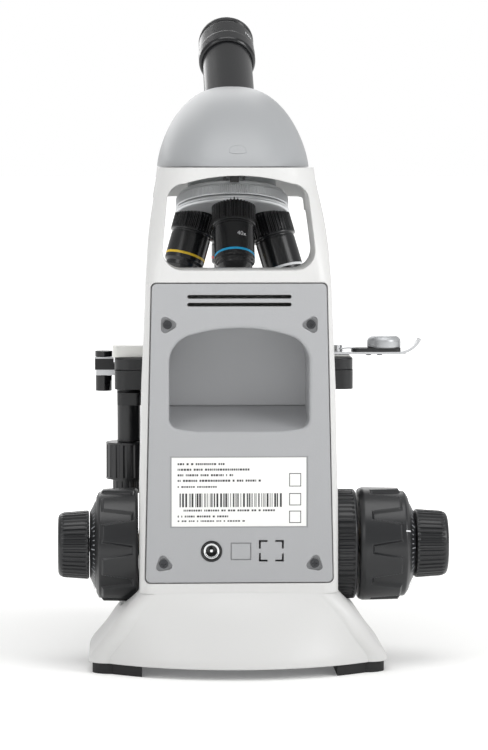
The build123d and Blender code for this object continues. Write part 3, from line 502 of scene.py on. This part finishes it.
# ---- sub-assemblies ---------------------------------------------------------------------
@dataclass
class FocusKnobs:
    """Coaxial focus knobs on both sides and the drag ring on the left."""
    y: float = 79.0
    z: float = 65.7
    coarse_radius: float = 31.2
    fine_radius: float = 18.9
    ring_radius: float = 30.2
    teeth: int = 10
    phase: float = 0.31
    sides: int = 720

    def coarse_relief(self, inner: float, outer: float, drop: float) -> Relief:
        """High band next to the column with teeth that reach outwards over a lower rim.

        The high band is where |x| < inner, or where |x| < outer and the distance to the middle of
        the nearest tooth, in radians, is under half(s) = 14° - 5° s, with s = (|x| - inner) /
        (outer - inner).  The distance d to its edge, in millimetres, sets the relief: the rim lies
        lower by the drop, and the step between the two is a bevel 1.1 mm wide.

        Args:
            inner: |x| of the bottom of the notches.
            outer: |x| of the ends of the teeth.
            drop: how far the rim lies below the high band.

        Returns:
            Relief function of the angle and x.
        """
        def relief(angle: np.ndarray, x: np.ndarray) -> np.ndarray:
            """Relief in millimetres."""
            out = np.abs(x)
            share = np.clip((out - inner) / (outer - inner), 0, 1)
            half = np.radians(14.0 - 5.0 * share)
            pitch = 2 * np.pi / self.teeth
            away = np.abs((angle + self.phase + pitch / 2) % pitch - pitch / 2)
            tooth = np.minimum((half - away) * self.coarse_radius, outer - out)
            inside = np.maximum(tooth, inner - out)
            return -drop * (1 - np.clip(0.5 + inside / 1.1, 0, 1))
        return relief

    def coarse(self) -> None:
        """Both coarse knobs: toothed band, lower rim, rounded shoulder, graduated cone."""
        r = self.coarse_radius
        left = rounded([(6, -66.6, 0), (29.6, -66.6, 0.8), (30.4, -67.4, 0.6), (r, -69.4, 0.8),
                        (r - 0.5, -90.6, 0.1), (r - 0.6, -92.4, 1.6), (28.0, -94.2, 1.4),
                        (27.2, -94.4, 0.2), (26.6, -94.0, 0.2), (26.0, -94.6, 0.2),
                        (19.4, -98.0, 0.4), (6, -98.0, 0)])
        right = rounded([(6, 54.2, 0), (30.2, 54.2, 0.8), (r, 55.4, 0.8), (r - 0.4, 74.6, 0.1),
                         (r - 0.5, 75.6, 1.0), (28.0, 77.0, 1.0), (27.2, 77.2, 0.2),
                         (26.6, 76.9, 0.2), (26.0, 77.3, 0.2), (19.4, 80.7, 0.4), (6, 80.7, 0)])
        grids = [along_x(turned(divided(left, 0.4), self.sides,
                                self.coarse_relief(73.7, 89.5, 1.7)), self.y, self.z),
                 along_x(turned(divided(right, 0.4), self.sides,
                                self.coarse_relief(57.4, 73.8, 1.5)), self.y, self.z)]
        Piece("coarse_knobs_moulded", "coarse_focus", KNOB_PLASTIC, "black_plastic",
              ("coarse_knobs",)).build(grids, (True, True))
        self.marks()

    def marks(self) -> None:
        """Graduation ticks on the cones and one index tick on the left shoulder."""
        number = np.arange(60)[:, None, None]
        ends = np.array([[-1.0], [1.0]])
        angle = 2 * np.pi * number / 60 + ends * np.where(number % 5, 0.010, 0.013)
        along = np.array([[0.0, 1.0]]) * np.where(number % 5, 0.5, 0.9)
        grids = []
        for inner, outer, start, end in ((-95.2, -97.4, 25.0, 20.8), (77.9, 80.0, 25.0, 20.9)):
            radius = start + (end - start) * along + 0.12
            x = inner + (outer - inner) * along
            grids.extend(self.around(x, radius, angle))
        Piece("fine_scale_marks", "coarse_focus", GRAY_INK, "label").build(
            grids, [False] * len(grids))
        tick = self.around(np.array([[-91.6, -94.0]]), np.array([[29.35, 28.4]]),
                           np.radians(np.array([[19.0], [20.6]])))
        Piece("coarse_index_tick", "coarse_focus", WHITE_INK, "label").build([tick], (False,))

    def around(self, x: np.ndarray, radius: np.ndarray, angle: np.ndarray) -> Points:
        """Points at (x, y0 + r cos a, z0 + r sin a) about the axis of the knobs."""
        x, radius, angle = np.broadcast_arrays(x, radius, angle)
        return np.stack([x, self.y + radius * np.cos(angle), self.z + radius * np.sin(angle)],
                        axis=-1)

    def fine(self) -> None:
        """Both fine knobs: 40 ribs, wide next to the cone, that end before the rounded end."""
        r = self.fine_radius

        def relief(low: float, high: float) -> Relief:
            """Grooves between two places along X."""
            return lambda a, x: -0.8 * (1 - step_wave(a * 40, 2.2)) * window(x, low, high, 1.2)
        left = rounded([(4.0, -98.4, 0), (18.4, -98.4, 0.5), (r, -99.2, 0.5), (18.0, -112.4, 0.6),
                        (17.2, -115.2, 2.2), (15.6, -116.4, 1.6), (0, -116.4, 0)])
        right = rounded([(4.0, 81.1, 0), (18.4, 81.1, 0.5), (r, 81.9, 0.5), (17.9, 95.0, 0.6),
                         (17.0, 97.2, 2.0), (15.4, 98.1, 1.4), (0, 98.1, 0)])
        grids = [along_x(turned(divided(left, 0.5), 576, relief(-114.2, -98.9)), self.y, self.z),
                 along_x(turned(divided(right, 0.5), 576, relief(81.6, 96.0)), self.y, self.z)]
        Piece("fine_knobs_moulded", "fine_focus", KNOB_PLASTIC, "black_plastic",
              ("fine_knobs",)).build(grids, (True, True))

    def drag_ring(self) -> None:
        """Ribbed ring that sets how hard the coarse focus turns, plain at its outer edge."""
        r = self.ring_radius
        outline = rounded([(12.1, -65.4, 0), (r - 1, -65.4, 0.6), (r, -64.6, 0.6), (r, -54.8, 0.4),
                           (r - 0.8, -54.2, 0.4), (12.1, -54.2, 0), (12.1, -65.4, 0)])
        ring = turned(divided(outline, 0.5), self.sides,
                      lambda a, x: -0.9 * (1 - step_wave(a * 57, 2.0))
                      * window(x, -63.6, -54.0, 0.4))
        Piece("drag_ring_moulded", "drag_ring", KNOB_PLASTIC, "black_plastic",
              ("torque_ring",)).build([along_x(ring, self.y, self.z)], (True,))

    def build(self) -> None:
        """Make every knob."""
        self.coarse()
        self.fine()
        self.drag_ring()


@dataclass(frozen=True)
class ObjectiveKind:
    """Sizes of one objective."""
    name: str
    spin: float
    length: float
    collar: float
    step: float
    tip: float
    ring: Finish


@dataclass
class Nosepiece:
    """Tilted rotating disc with its grip ring and four objectives."""
    pivot: tuple[float, float, float] = (0.0, 19.13, 246.3)
    tilt: float = 15.5
    pitch: float = 19.85
    radius: float = 32.25
    kinds: tuple[ObjectiveKind, ...] = (
        ObjectiveKind("objective_4x", 0, 30.0, 10.5, 22.5, 8.0, RED_INK),
        ObjectiveKind("objective_10x", 90, 37.0, 12.0, 29.0, 7.0, YELLOW_INK),
        ObjectiveKind("objective_40x", 180, 44.5, 14.6, 36.5, 6.0, CYAN_INK),
        ObjectiveKind("objective_100x", 270, 44.6, 14.6, 36.5, 5.0, WHITE_INK))

    def on_disc(self, grid: Points) -> Points:
        """Move a surface drawn about Z at the origin onto the tilted disc."""
        return moved(grid, tilt_about_x(self.tilt), self.pivot)

    def on_place(self, grid: Points, spin: float) -> Points:
        """Move a surface drawn about Z at the origin onto one of the four places."""
        leaned = moved(grid, tilt_about_x(-self.tilt), (0, -self.pitch, 0))
        return self.on_disc(moved(leaned, spin_about_z(spin), (0, 0, 0)))

    def rotor(self) -> None:
        """Turned rotor: cone underneath, polished bead, groove for the grip, lip on top."""
        r = self.radius
        outline = rounded([(0, -3.2, 0), (8.0, -3.0, 1.0), (29.8, -0.4, 0.4), (30.3, -0.2, 0.3),
                           (31.2, -0.2, 0.5), (r, 0.6, 0.8), (r, 1.4, 0.3), (31.9, 1.6, 0.2),
                           (r, 1.8, 0.3), (r, 2.7, 0.5), (31.6, 3.2, 0.4), (30.4, 3.4, 0.3),
                           (29.3, 3.6, 0), (29.3, 9.6, 0), (30.2, 9.7, 0.2), (30.2, 11.4, 0.5),
                           (29.2, 12.3, 0.6), (25.7, 12.3, 0.3), (25.7, 11.0, 0), (0, 11.0, 0)])
        Piece("nosepiece_rotor_turned", "nosepiece", SATIN_CHROME, "aluminium",
              ("nosepiece_disc",)).build([self.on_disc(turned(divided(outline, 1.2), 240))],
                                         (True,))

    def grip(self) -> None:
        """Knurled metal ring: 180 fine upright teeth."""
        outline = rounded([(29.4, 9.5, 0), (31.4, 9.4, 0.2), (31.9, 8.9, 0.3), (31.9, 4.2, 0.3),
                           (31.4, 3.7, 0.2), (29.4, 3.6, 0)])
        ring = turned(divided(outline, 0.7), 1080,
                      lambda a, h: -0.42 * (1 - step_wave(a * 180, 0.9))
                      * window(h, 3.8, 9.3, 0.3))
        Piece("nosepiece_grip_ring", "nosepiece", SATIN_CHROME, "aluminium",
              ("nosepiece_grip",)).build([self.on_disc(ring)], (True,))

    def objective(self, kind: ObjectiveKind) -> None:
        """One objective: ribbed collar, barrel, colour ring, stepped nose.

        Args:
            kind: its sizes.
        """
        nose = kind.length - 4.5
        collar, step = -kind.collar, -kind.step
        outline = rounded([
            (9.9, 4.8, 0), (9.9, 0.1, 0), (11.9, 0.0, 0.3), (12.3, -0.5, 0.2), (12.3, collar, 0.4),
            (11.0, collar - 0.5, 0.2), (11.0, collar - 1.4, 0.2), (11.2, collar - 1.8, 0.3),
            (11.2, step, 0.5), (9.8, step - 1.2, 0.4), (9.7, -nose, 0.8),
            (kind.tip + 0.4, -kind.length + 0.3, 0.5), (kind.tip, -kind.length, 0.2),
            (kind.tip - 1.4, -kind.length, 0.2), (kind.tip - 1.4, -kind.length + 1.0, 0)])
        barrel = turned(divided(outline, 0.5), 320, lambda a, h: (
            -0.7 * step_wave(a * 38, 1.6) * window(h, collar + 0.9, -1.4, 0.6)))
        Piece(kind.name + "_barrel", "nosepiece", BARREL_BLACK, "black_metal",
              (kind.name,)).build([self.on_place(barrel, kind.spin)], (True,))
        low = step + 2.3
        band = rounded([(11.1, low, 0), (11.28, low + 0.1, 0.1), (11.28, low + 1.4, 0.1),
                        (11.1, low + 1.5, 0)], 3)
        Piece(kind.name + "_ring", "nosepiece", kind.ring, "label").build(
            [self.on_place(turned(band, 96), kind.spin)], (True,))
        flat, spots = text_points(kind.name.split("_")[1], 3.6)
        middle = (collar + low) / 2 - 0.6
        outward = 270.0 + (math.degrees(0.35) if kind.spin == 180 else 0.0)
        placed = self.on_place(wrapped(spots, 11.27, outward, middle), kind.spin)
        flat.vertices.foreach_set("co", (placed * MM + np.array(axis_origin())).ravel())
        flat.name = kind.name + "_power_mark"
        Piece(kind.name + "_power_mark", "nosepiece", WHITE_INK, "label").dress(flat)

    def build(self) -> None:
        """Make the rotor, the grip and the objectives."""
        self.rotor()
        self.grip()
        for kind in self.kinds:
            self.objective(kind)


@dataclass
class Head:
    """Dome, inclined tube and eyepiece."""
    foot_z: float = 273.3
    height: float = 45.3
    half: float = 42.25
    rear: float = 106.0
    axis_z: float = 299.0
    tube_angle: float = 30.0
    eye_radius: float = 16.65
    shoulder: float = 69.6
    end: float = 98.7

    def dome_grid(self) -> Points:
        """The dome as a function of the angle a round it and the height share t.

        Across, half(t) = H (1 - t^1.5)^(1/2.5); behind, rear(t) = L (1 - t^1.5)^(1/1.7); the
        centre moves back by 12 t².  Each level is a circle in front and |cos a|^(2/n), |sin a|^(2/n)
        behind, with n falling from 3.6 at the foot to 2 on top.

        Returns:
            Grid of points.
        """
        t = np.sin(np.linspace(0, np.pi / 2, 90))[:, None]
        angle = np.linspace(0, 2 * np.pi, 240, endpoint=False)[None, :]
        fall = np.clip(1 - t ** 1.5, 0, 1)
        half, rear = self.half * fall ** (1 / 2.5), self.rear * fall ** (1 / 1.7)
        power = 2 / np.where(np.sin(angle) > 0, 2.0 + 1.5 * (1 - t) ** 0.7, 2.0)
        c, s = np.cos(angle), np.sin(angle)
        x = half * np.sign(c) * np.abs(c) ** power
        y = np.where(s > 0, rear, half) * np.sign(s) * np.abs(s) ** power + 12 * t ** 2
        return np.stack([x, y, self.foot_z + self.height * t + 0 * angle], axis=-1)

    def dome(self) -> None:
        """Lacquered dome, closed underneath."""
        grid = self.dome_grid()
        inward = grid[:1] * np.array([0.4, 0.4, 1.0])
        lip = grid[:1] * np.array([0.995, 0.995, 1.0])
        grid[0, :, 2] += 0.35
        Piece("head_dome", "head", HEAD_PAINT, "dome_gray", ("head_shell",)).build(
            [np.concatenate([inward, lip, grid])], (True,))

    def on_tube(self, grid: Points) -> Points:
        """Move a surface drawn about Z onto the tube axis, which leans towards the user."""
        return moved(grid, tilt_about_x(90 - self.tube_angle), (0, 0, self.axis_z))

    def eyepiece(self) -> None:
        """Eyepiece with its grooved rim and hollow eye end."""
        r, low, high = self.eye_radius, self.shoulder, self.end
        outline = rounded([
            (11.6, low, 0), (15.4, low, 0.5), (r, low + 1.4, 1.0), (r, low + 9.6, 0.5),
            (r - 0.25, low + 10.2, 0.3), (r - 0.45, high - 6.6, 0.5), (r - 1.3, high - 5.9, 0.3),
            (r - 1.3, high - 4.9, 0.3), (r - 0.35, high - 4.2, 0.4), (r - 0.45, high - 1.2, 1.0),
            (r - 1.6, high, 0.8), (11.2, high, 0.8), (9.9, high - 4.2, 0.5), (9.8, high - 5.8, 0)])
        Piece("eyepiece_grip", "eyepiece", BARREL_BLACK, "black_plastic", ("eyepiece_barrel",)
              ).build([self.on_tube(turned(divided(outline, 1.0), 200))], (True,))

    def power_mark(self) -> None:
        """Small printed 10x on the side of the eyepiece, the magnification only."""
        flat, spots = text_points("10x", 4.2)
        placed = self.on_tube(wrapped(spots, self.eye_radius - 0.2, 142.0, self.shoulder + 14.0))
        flat.vertices.foreach_set("co", (placed * MM + np.array(axis_origin())).ravel())
        flat.name = "eyepiece_power_mark"
        Piece("eyepiece_power_mark", "eyepiece", WHITE_INK, "label").dress(flat)

    def dome_rear(self, x: np.ndarray, z: np.ndarray) -> np.ndarray:
        """Depth of the back of the dome at x and z: the inverse of the formula of dome_grid."""
        t = (z - self.foot_z) / self.height
        fall = np.clip(1 - t ** 1.5, 0, 1)
        power = 2 / (2.0 + 1.5 * (1 - t) ** 0.7)
        c = (np.abs(x) / (self.half * fall ** (1 / 2.5))) ** (1 / power)
        s = np.sqrt(np.clip(1 - c ** 2, 0, 1))
        return self.rear * fall ** (1 / 1.7) * s ** power + 12 * t ** 2

    def cap(self) -> None:
        """Fan-shaped cap in the back of the dome, a shallow cushion with a groove round it.

        The outline is a flat foot with an arch above it.  The surface follows the dome and stands
        proud of it by a height that depends on u, the share of the way from the middle to the
        outline: 0.35 mm inside, falling below the dome at the groove, with a small dent.
        """
        a = np.linspace(0, 2 * np.pi, 96, endpoint=False)
        high = np.where(np.sin(a) > 0, 3.6, 1.1)
        rim_x = 4.9 * np.sign(np.cos(a)) * np.abs(np.cos(a)) ** 0.75
        rim_z = high * np.sign(np.sin(a)) * np.abs(np.sin(a)) ** 0.9
        u = np.array([0.001, 0.3, 0.6, 0.8, 0.9, 0.96, 1.0, 1.03, 1.06])[:, None]
        proud = np.array([0.35, 0.35, 0.34, 0.30, 0.24, 0.12, -0.05, -0.12, -0.3])[:, None]
        x, z = u * rim_x, 281.5 + u * rim_z
        dent = 0.25 * np.exp(-(x ** 2 + (z - 282.6) ** 2) / 0.5)
        grid = np.stack([x, self.dome_rear(x, z) + proud - dent, z], axis=-1)
        Piece("prism_screw_cap", "head", HEAD_PAINT, "dome_gray", ("head_cap",)).build(
            [grid], (True,))

    def build(self) -> None:
        """Make the head."""
        self.dome()
        self.cap()
        self.eyepiece()
        self.power_mark()


@dataclass
class RatingLabel:
    """Printed sticker on the back: a code of bars and rows of illegible small print."""
    left: float = 36.0
    width: float = 72.0
    low: float = 80.7
    face_y: float = 123.68
    seed: int = 7

    def strips(self, x0: np.ndarray, x1: np.ndarray, z0: np.ndarray, z1: np.ndarray) -> list[Points]:
        """Flat upright rectangles from x0..x1, z0..z1, all just proud of the label."""
        return [np.array([[[a, self.face_y, c], [b, self.face_y, c]],
                          [[a, self.face_y, d], [b, self.face_y, d]]])
                for a, b, c, d in zip(x0, x1, z0, z1)]

    def bars(self) -> list[Points]:
        """Code bars of random widths from a fixed seed."""
        chance = np.random.default_rng(self.seed)
        widths = chance.choice([0.35, 0.35, 0.7, 1.0], 120)
        edges = 33.2 - np.cumsum(widths)
        edges = edges[edges > -23.5]
        starts, ends = edges[0:-1:2], edges[1::2]
        count = min(len(starts), len(ends))
        ones = np.ones(count)
        return self.strips(ends[:count], starts[:count], 90.9 * ones, 98.3 * ones)

    def words(self) -> list[Points]:
        """Rows of short dashes that read as small print from a distance."""
        chance = np.random.default_rng(self.seed + 1)
        out = []
        for z, height, first, last in ((113.6, 1.1, 33.2, 8.0), (110.6, 1.1, 33.2, -6.0),
                                       (107.6, 1.1, 33.2, 2.0), (104.6, 1.1, 33.2, -12.0),
                                       (101.4, 0.9, 33.2, 12.0), (88.6, 1.0, 30.0, -20.0),
                                       (85.4, 1.0, 33.2, 4.0), (83.0, 0.8, 33.2, -4.0)):
            widths = chance.uniform(0.5, 1.3, 200)
            blanks = np.where(chance.uniform(size=200) < 0.2, 1.3, 0.35)
            ends = first - np.cumsum(widths + blanks) + blanks
            starts = ends + widths
            keep = ends > last
            ones = np.ones(int(keep.sum()))
            out += self.strips(ends[keep], starts[keep], z * ones, (z + height) * ones)
        return out

    def build(self) -> None:
        """Make the print."""
        frames = []
        for x, z, w, h in ((-30.0, 105.5, 6.4, 7.2), (-30.0, 95.0, 6.4, 6.6), (-30.0, 85.5, 6.4, 6.6)):
            t = 0.4
            frames += self.strips(np.array([x - w / 2, x - w / 2, x - w / 2, x + w / 2 - t]),
                                  np.array([x + w / 2, x + w / 2, x - w / 2 + t, x + w / 2]),
                                  np.array([z - h / 2, z + h / 2 - t, z - h / 2, z - h / 2]),
                                  np.array([z - h / 2 + t, z + h / 2, z + h / 2, z + h / 2]))
        grids = self.bars() + self.words() + frames
        Piece("rating_label_print", "stand", INK, "black_plastic").build(
            grids, [False] * len(grids))


@dataclass
class PowerInlet:
    """Round low-voltage inlet: black bezel, nickel sleeve and centre pin."""
    x: float = 15.0
    z: float = 67.1
    face_y: float = 124.0

    def along_y(self, grid: Points) -> Points:
        """Lay a surface drawn about Z along Y: height becomes depth from the face."""
        return np.stack([self.x + grid[..., 0], self.face_y + grid[..., 2],
                         self.z - grid[..., 1]], axis=-1)

    def build(self) -> None:
        """Make the three pieces."""
        bezel = rounded([(5.7, -10.0, 0), (5.7, 0.3, 0.4), (5.0, 0.5, 0.3), (4.5, 0.1, 0.3),
                         (4.4, -1.0, 0), (2.9, -1.0, 0), (2.9, -9.0, 0), (0, -9.0, 0)])
        sleeve = rounded([(4.35, -0.9, 0), (4.3, -0.35, 0.2), (3.9, -0.3, 0.2), (3.1, -0.5, 0.2),
                          (2.95, -1.0, 0.1), (2.95, -7.0, 0)])
        pin = rounded([(1.2, -8.8, 0), (1.2, -2.0, 0.3), (0.7, -1.6, 0.2), (0, -1.6, 0)])
        Piece("inlet_bezel", "stand", GLOSS_BLACK, "black_plastic", ("power_jack",)).build(
            [self.along_y(turned(bezel, 96))], (True,))
        Piece("inlet_contacts", "stand", NICKEL, "steel").build(
            [self.along_y(turned(sleeve, 96)), self.along_y(turned(pin, 32))], (True, True))


@dataclass
class SlideClip:
    """Details of the sprung slide clip: turned disc, wire and screw heads."""
    y: float = 38.0
    disc_x: float = -84.7
    pivot_x: float = -58.5
    disc_low: float = 171.7
    disc_high: float = 178.2
    disc_radius: float = 9.4

    def disc(self) -> None:
        """Aluminium disc with a rounded upper edge and a shallow dished top."""
        r, low, high = self.disc_radius, self.disc_low, self.disc_high
        outline = rounded([(0, low, 0), (r - 0.6, low, 0.4), (r, low + 0.5, 0.4), (r, high - 2.0, 1.0),
                           (r - 1.8, high, 1.2), (4.0, high - 0.1, 1.0), (0, high - 0.5, 0)])
        grid = turned(divided(outline, 0.5), 160) + np.array([self.disc_x, self.y, 0.0])
        foot = axis_origin() / MM
        finish = replace(TURNED_DISC, centre=(foot.x + self.disc_x, foot.y + self.y, 0.0))
        Piece("clip_disc_turned", "clip", finish, "aluminium", ("clip_disc",)).build(
            [grid], (True,))

    def wire(self) -> None:
        """Spring wire from the pivot to the pad: a round section along a shallow curve."""
        t = np.linspace(0, 1, 24)
        x = self.pivot_x - 1.5 - 9.5 * t
        z = 171.2 + 0.5 * np.sin(np.pi * t)
        y = self.y + 2.8 * np.ones_like(t)
        a = np.linspace(0, 2 * np.pi, 12, endpoint=False)
        grid = np.stack([x[:, None] + 0 * a, y[:, None] + 0.45 * np.cos(a),
                         z[:, None] + 0.45 * np.sin(a)], axis=-1)
        ends = [grid[:1] * 0 + grid[:1].mean(axis=1, keepdims=True),
                grid[-1:] * 0 + grid[-1:].mean(axis=1, keepdims=True)]
        Piece("clip_spring_wire", "clip", STEEL, "steel").build(
            [np.concatenate([ends[0], grid, ends[1]])], (True,))

    def screws(self) -> None:
        """Two small screw heads under the lever that hold the disc."""
        head = rounded([(0, 168.2, 0), (1.6, 168.2, 0), (1.6, 167.5, 0.3), (0.9, 167.3, 0),
                        (0, 167.3, 0)])
        grids = [turned(head, 24) + np.array([self.disc_x + dx, self.y, 0.0]) for dx in (2.4, 8.6)]
        Piece("clip_screws", "clip", DARK_STEEL, "steel").build(grids, (True, True))

    def build(self) -> None:
        """Make the details."""
        self.disc()
        self.wire()
        self.screws()


@dataclass(frozen=True)
class SoftBox:
    """One square area light, with places in metres and power in watts."""
    name: str
    place: tuple[float, float, float]
    aim: tuple[float, float, float]
    size: float
    power: float

    def build(self) -> None:
        """Hang the light and point it."""
        light = bpy.data.lights.new(self.name, "AREA")
        light.shape, light.size, light.energy = "SQUARE", self.size, self.power
        holder = bpy.data.objects.new(self.name, light)
        bpy.context.scene.collection.objects.link(holder)
        holder.location = self.place
        ahead = Vector(self.aim) - Vector(self.place)
        holder.rotation_euler = ahead.to_track_quat("-Z", "Y").to_euler()


@dataclass
class Studio:
    """Pale floor, soft lights and the camera.

    The camera's place is in millimetres from the optical axis and its angles are in degrees.
    """
    lens_mm: float = 156.0
    camera_x: float = 67.3
    camera_y: float = 1860.7
    camera_z: float = 277.5
    yaw: float = 2.3
    pitch: float = 3.80
    ambient: float = 0.55
    floor_half: float = 60.0
    # painted glow of the floor: emission strength from glow_low to glow_high between these distances
    # in metres
    glow_near: float = 0.15
    glow_far: float = 0.7
    glow_low: float = 0.10
    glow_high: float = 0.75
    soft_boxes: tuple[SoftBox, ...] = (
        SoftBox("left_soft_box", (1.1, 1.2, 0.9), (0, 0, 0.17), 0.8, 4.0),
        SoftBox("right_soft_box", (-1.3, 1.0, 0.9), (0, 0, 0.17), 0.7, 10.0),
        SoftBox("top_soft_box", (0.0, 0.3, 1.6), (0, 0, 0.1), 1.1, 9.0),
        SoftBox("front_soft_box", (0.2, -1.6, 0.9), (0, 0, 0.2), 1.0, 6.0))

    def floor(self) -> None:
        """Very large flat pale floor, so that its far edge meets the white of the background."""
        t = np.linspace(-1, 1, 3)
        x, y = np.meshgrid(t * self.floor_half, t * self.floor_half, indexing="ij")
        grid = np.stack([x, y, 0 * x], axis=-1)
        index = np.arange(grid.shape[0] * grid.shape[1]).reshape(grid.shape[:2])
        faces = np.stack([index[:-1, :-1], index[1:, :-1], index[1:, 1:], index[:-1, 1:]], axis=-1)
        mesh = bpy.data.meshes.new("studio_floor")
        mesh.from_pydata(grid.reshape(-1, 3).tolist(), [], faces.reshape(-1, 4).tolist())
        floor = bpy.data.objects.new("studio_floor", mesh)
        bpy.context.scene.collection.objects.link(floor)
        mesh.materials.append(self.painted_glow_floor())

    def painted_glow_floor(self) -> bpy.types.Material:
        """Matt white floor with a painted glow: it emits light itself, more the further it is from the
        object.

        The painted glow rises smoothly with the distance from the middle, between two radii in metres.
        """
        material = Finish("pale_floor_painted_glow", "f7f7f6", 0.95).build()
        tree = material.node_tree
        place = add_node(tree, "ShaderNodeTexCoord").outputs["Object"]
        reach = add_node(tree, "ShaderNodeVectorMath", {"operation": "LENGTH"}, {0: place})
        # painted glow: the floor's emission grows with the distance from the object
        glow = add_node(tree, "ShaderNodeMapRange", {"interpolation_type": "SMOOTHSTEP"}, {
            0: reach.outputs["Value"], "From Min": self.glow_near, "From Max": self.glow_far,
            "To Min": self.glow_low, "To Max": self.glow_high})
        shader = next(n for n in tree.nodes if n.type == "BSDF_PRINCIPLED")
        shader.inputs["Emission Color"].default_value = linear("ffffff")
        tree.links.new(glow.outputs[0], shader.inputs["Emission Strength"])
        return material

    def world(self) -> None:
        """Even light from all around, plain white where it is seen directly."""
        world = bpy.data.worlds.new("studio")
        world.use_nodes = True
        tree = world.node_tree
        tree.nodes.clear()
        seen = add_node(tree, "ShaderNodeLightPath").outputs["Is Camera Ray"]
        light = add_node(tree, "ShaderNodeMapRange", inputs={
            0: seen, "To Min": self.ambient, "To Max": 1.0})
        sky = add_node(tree, "ShaderNodeBackground", inputs={
            "Color": linear("ffffff"), "Strength": light.outputs[0]})
        add_node(tree, "ShaderNodeOutputWorld", inputs={"Surface": sky.outputs[0]})
        bpy.context.scene.world = world

    def build(self) -> None:
        """Set the studio up."""
        self.floor()
        self.world()
        for box in self.soft_boxes:
            box.build()
        camera = bpy.data.cameras.new("camera")
        camera.lens = self.lens_mm
        camera.clip_end = 50
        holder = bpy.data.objects.new("camera", camera)
        bpy.context.scene.collection.objects.link(holder)
        origin = axis_origin()
        holder.location = Vector((self.camera_x, self.camera_y, self.camera_z)) * MM + origin
        yaw, pitch = math.radians(self.yaw), math.radians(self.pitch)
        ahead = Vector((-math.sin(yaw) * math.cos(pitch), -math.cos(yaw) * math.cos(pitch),
                        -math.sin(pitch)))
        holder.rotation_mode = "QUATERNION"
        holder.rotation_quaternion = ahead.to_track_quat("-Z", "Y")
        bpy.context.scene.camera = holder
        bpy.context.scene.view_settings.view_transform = "Standard"


FINISHES: tuple[tuple[Finish, tuple[str, ...]], ...] = (
    (WHITE_PAINT, ("stand_casting",)),
    (COVER_PLASTIC, ("rear_cover",)),
    (DARK_STEEL, ("cover_screws",)),
    (PAPER, ("rating_label",)),
    (GLOSS_BLACK, ("lock_screw",)),
    (RUBBER, ("rubber_feet",)),
    (STEEL, ("base_plate", "base_screws", "coarse_shaft", "fine_shaft", "focus_rail",
             "slide_finger", "lock_plate", "head_clamp_screw")),
    (BOARD, ("circuit_board",)),
    (SATIN_ALUMINIUM, ("heat_sink", "led_module", "head_ring")),
    (BLACK_PAINT, ("collector_cell", "focus_block", "stage_bracket", "lower_stage_plate",
                   "upper_stage_plate", "clip_plate", "lock_bracket", "condenser_mount",
                   "condenser_body", "iris_lever", "filter_holder", "detent_spring")),
    (KNOB_PLASTIC, ("drive_housing", "stage_y_knob", "stage_x_knob", "condenser_knob",
                    "brightness_dial")),
    (BARREL_BLACK, ("eyepiece_tube",)),
    (MOUNT_PAINT, ("nosepiece_mount",)),
    (WHITE_ACETAL, ("x_carriage",)),
    (BRASS, ("shaft_bushings", "focus_rack")),
    (LENS, ("collector_lens", "condenser_lens", "objective_lenses", "roof_prism",
            "eyepiece_lenses")),
    (BLUE_FILTER, ("filter_glass",)),
)


def main() -> None:
    """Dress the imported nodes, build the detailed pieces and set up the studio."""
    logging.basicConfig(level=logging.INFO, format="%(message)s")
    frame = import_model()
    for finish, names in FINISHES:
        dress_nodes(frame, finish, *names)
    for assembly in (FocusKnobs(), Nosepiece(), Head(), RatingLabel(), PowerInlet(), SlideClip(),
                     Studio()):
        assembly.build()


if __name__ == "__main__":
    main()
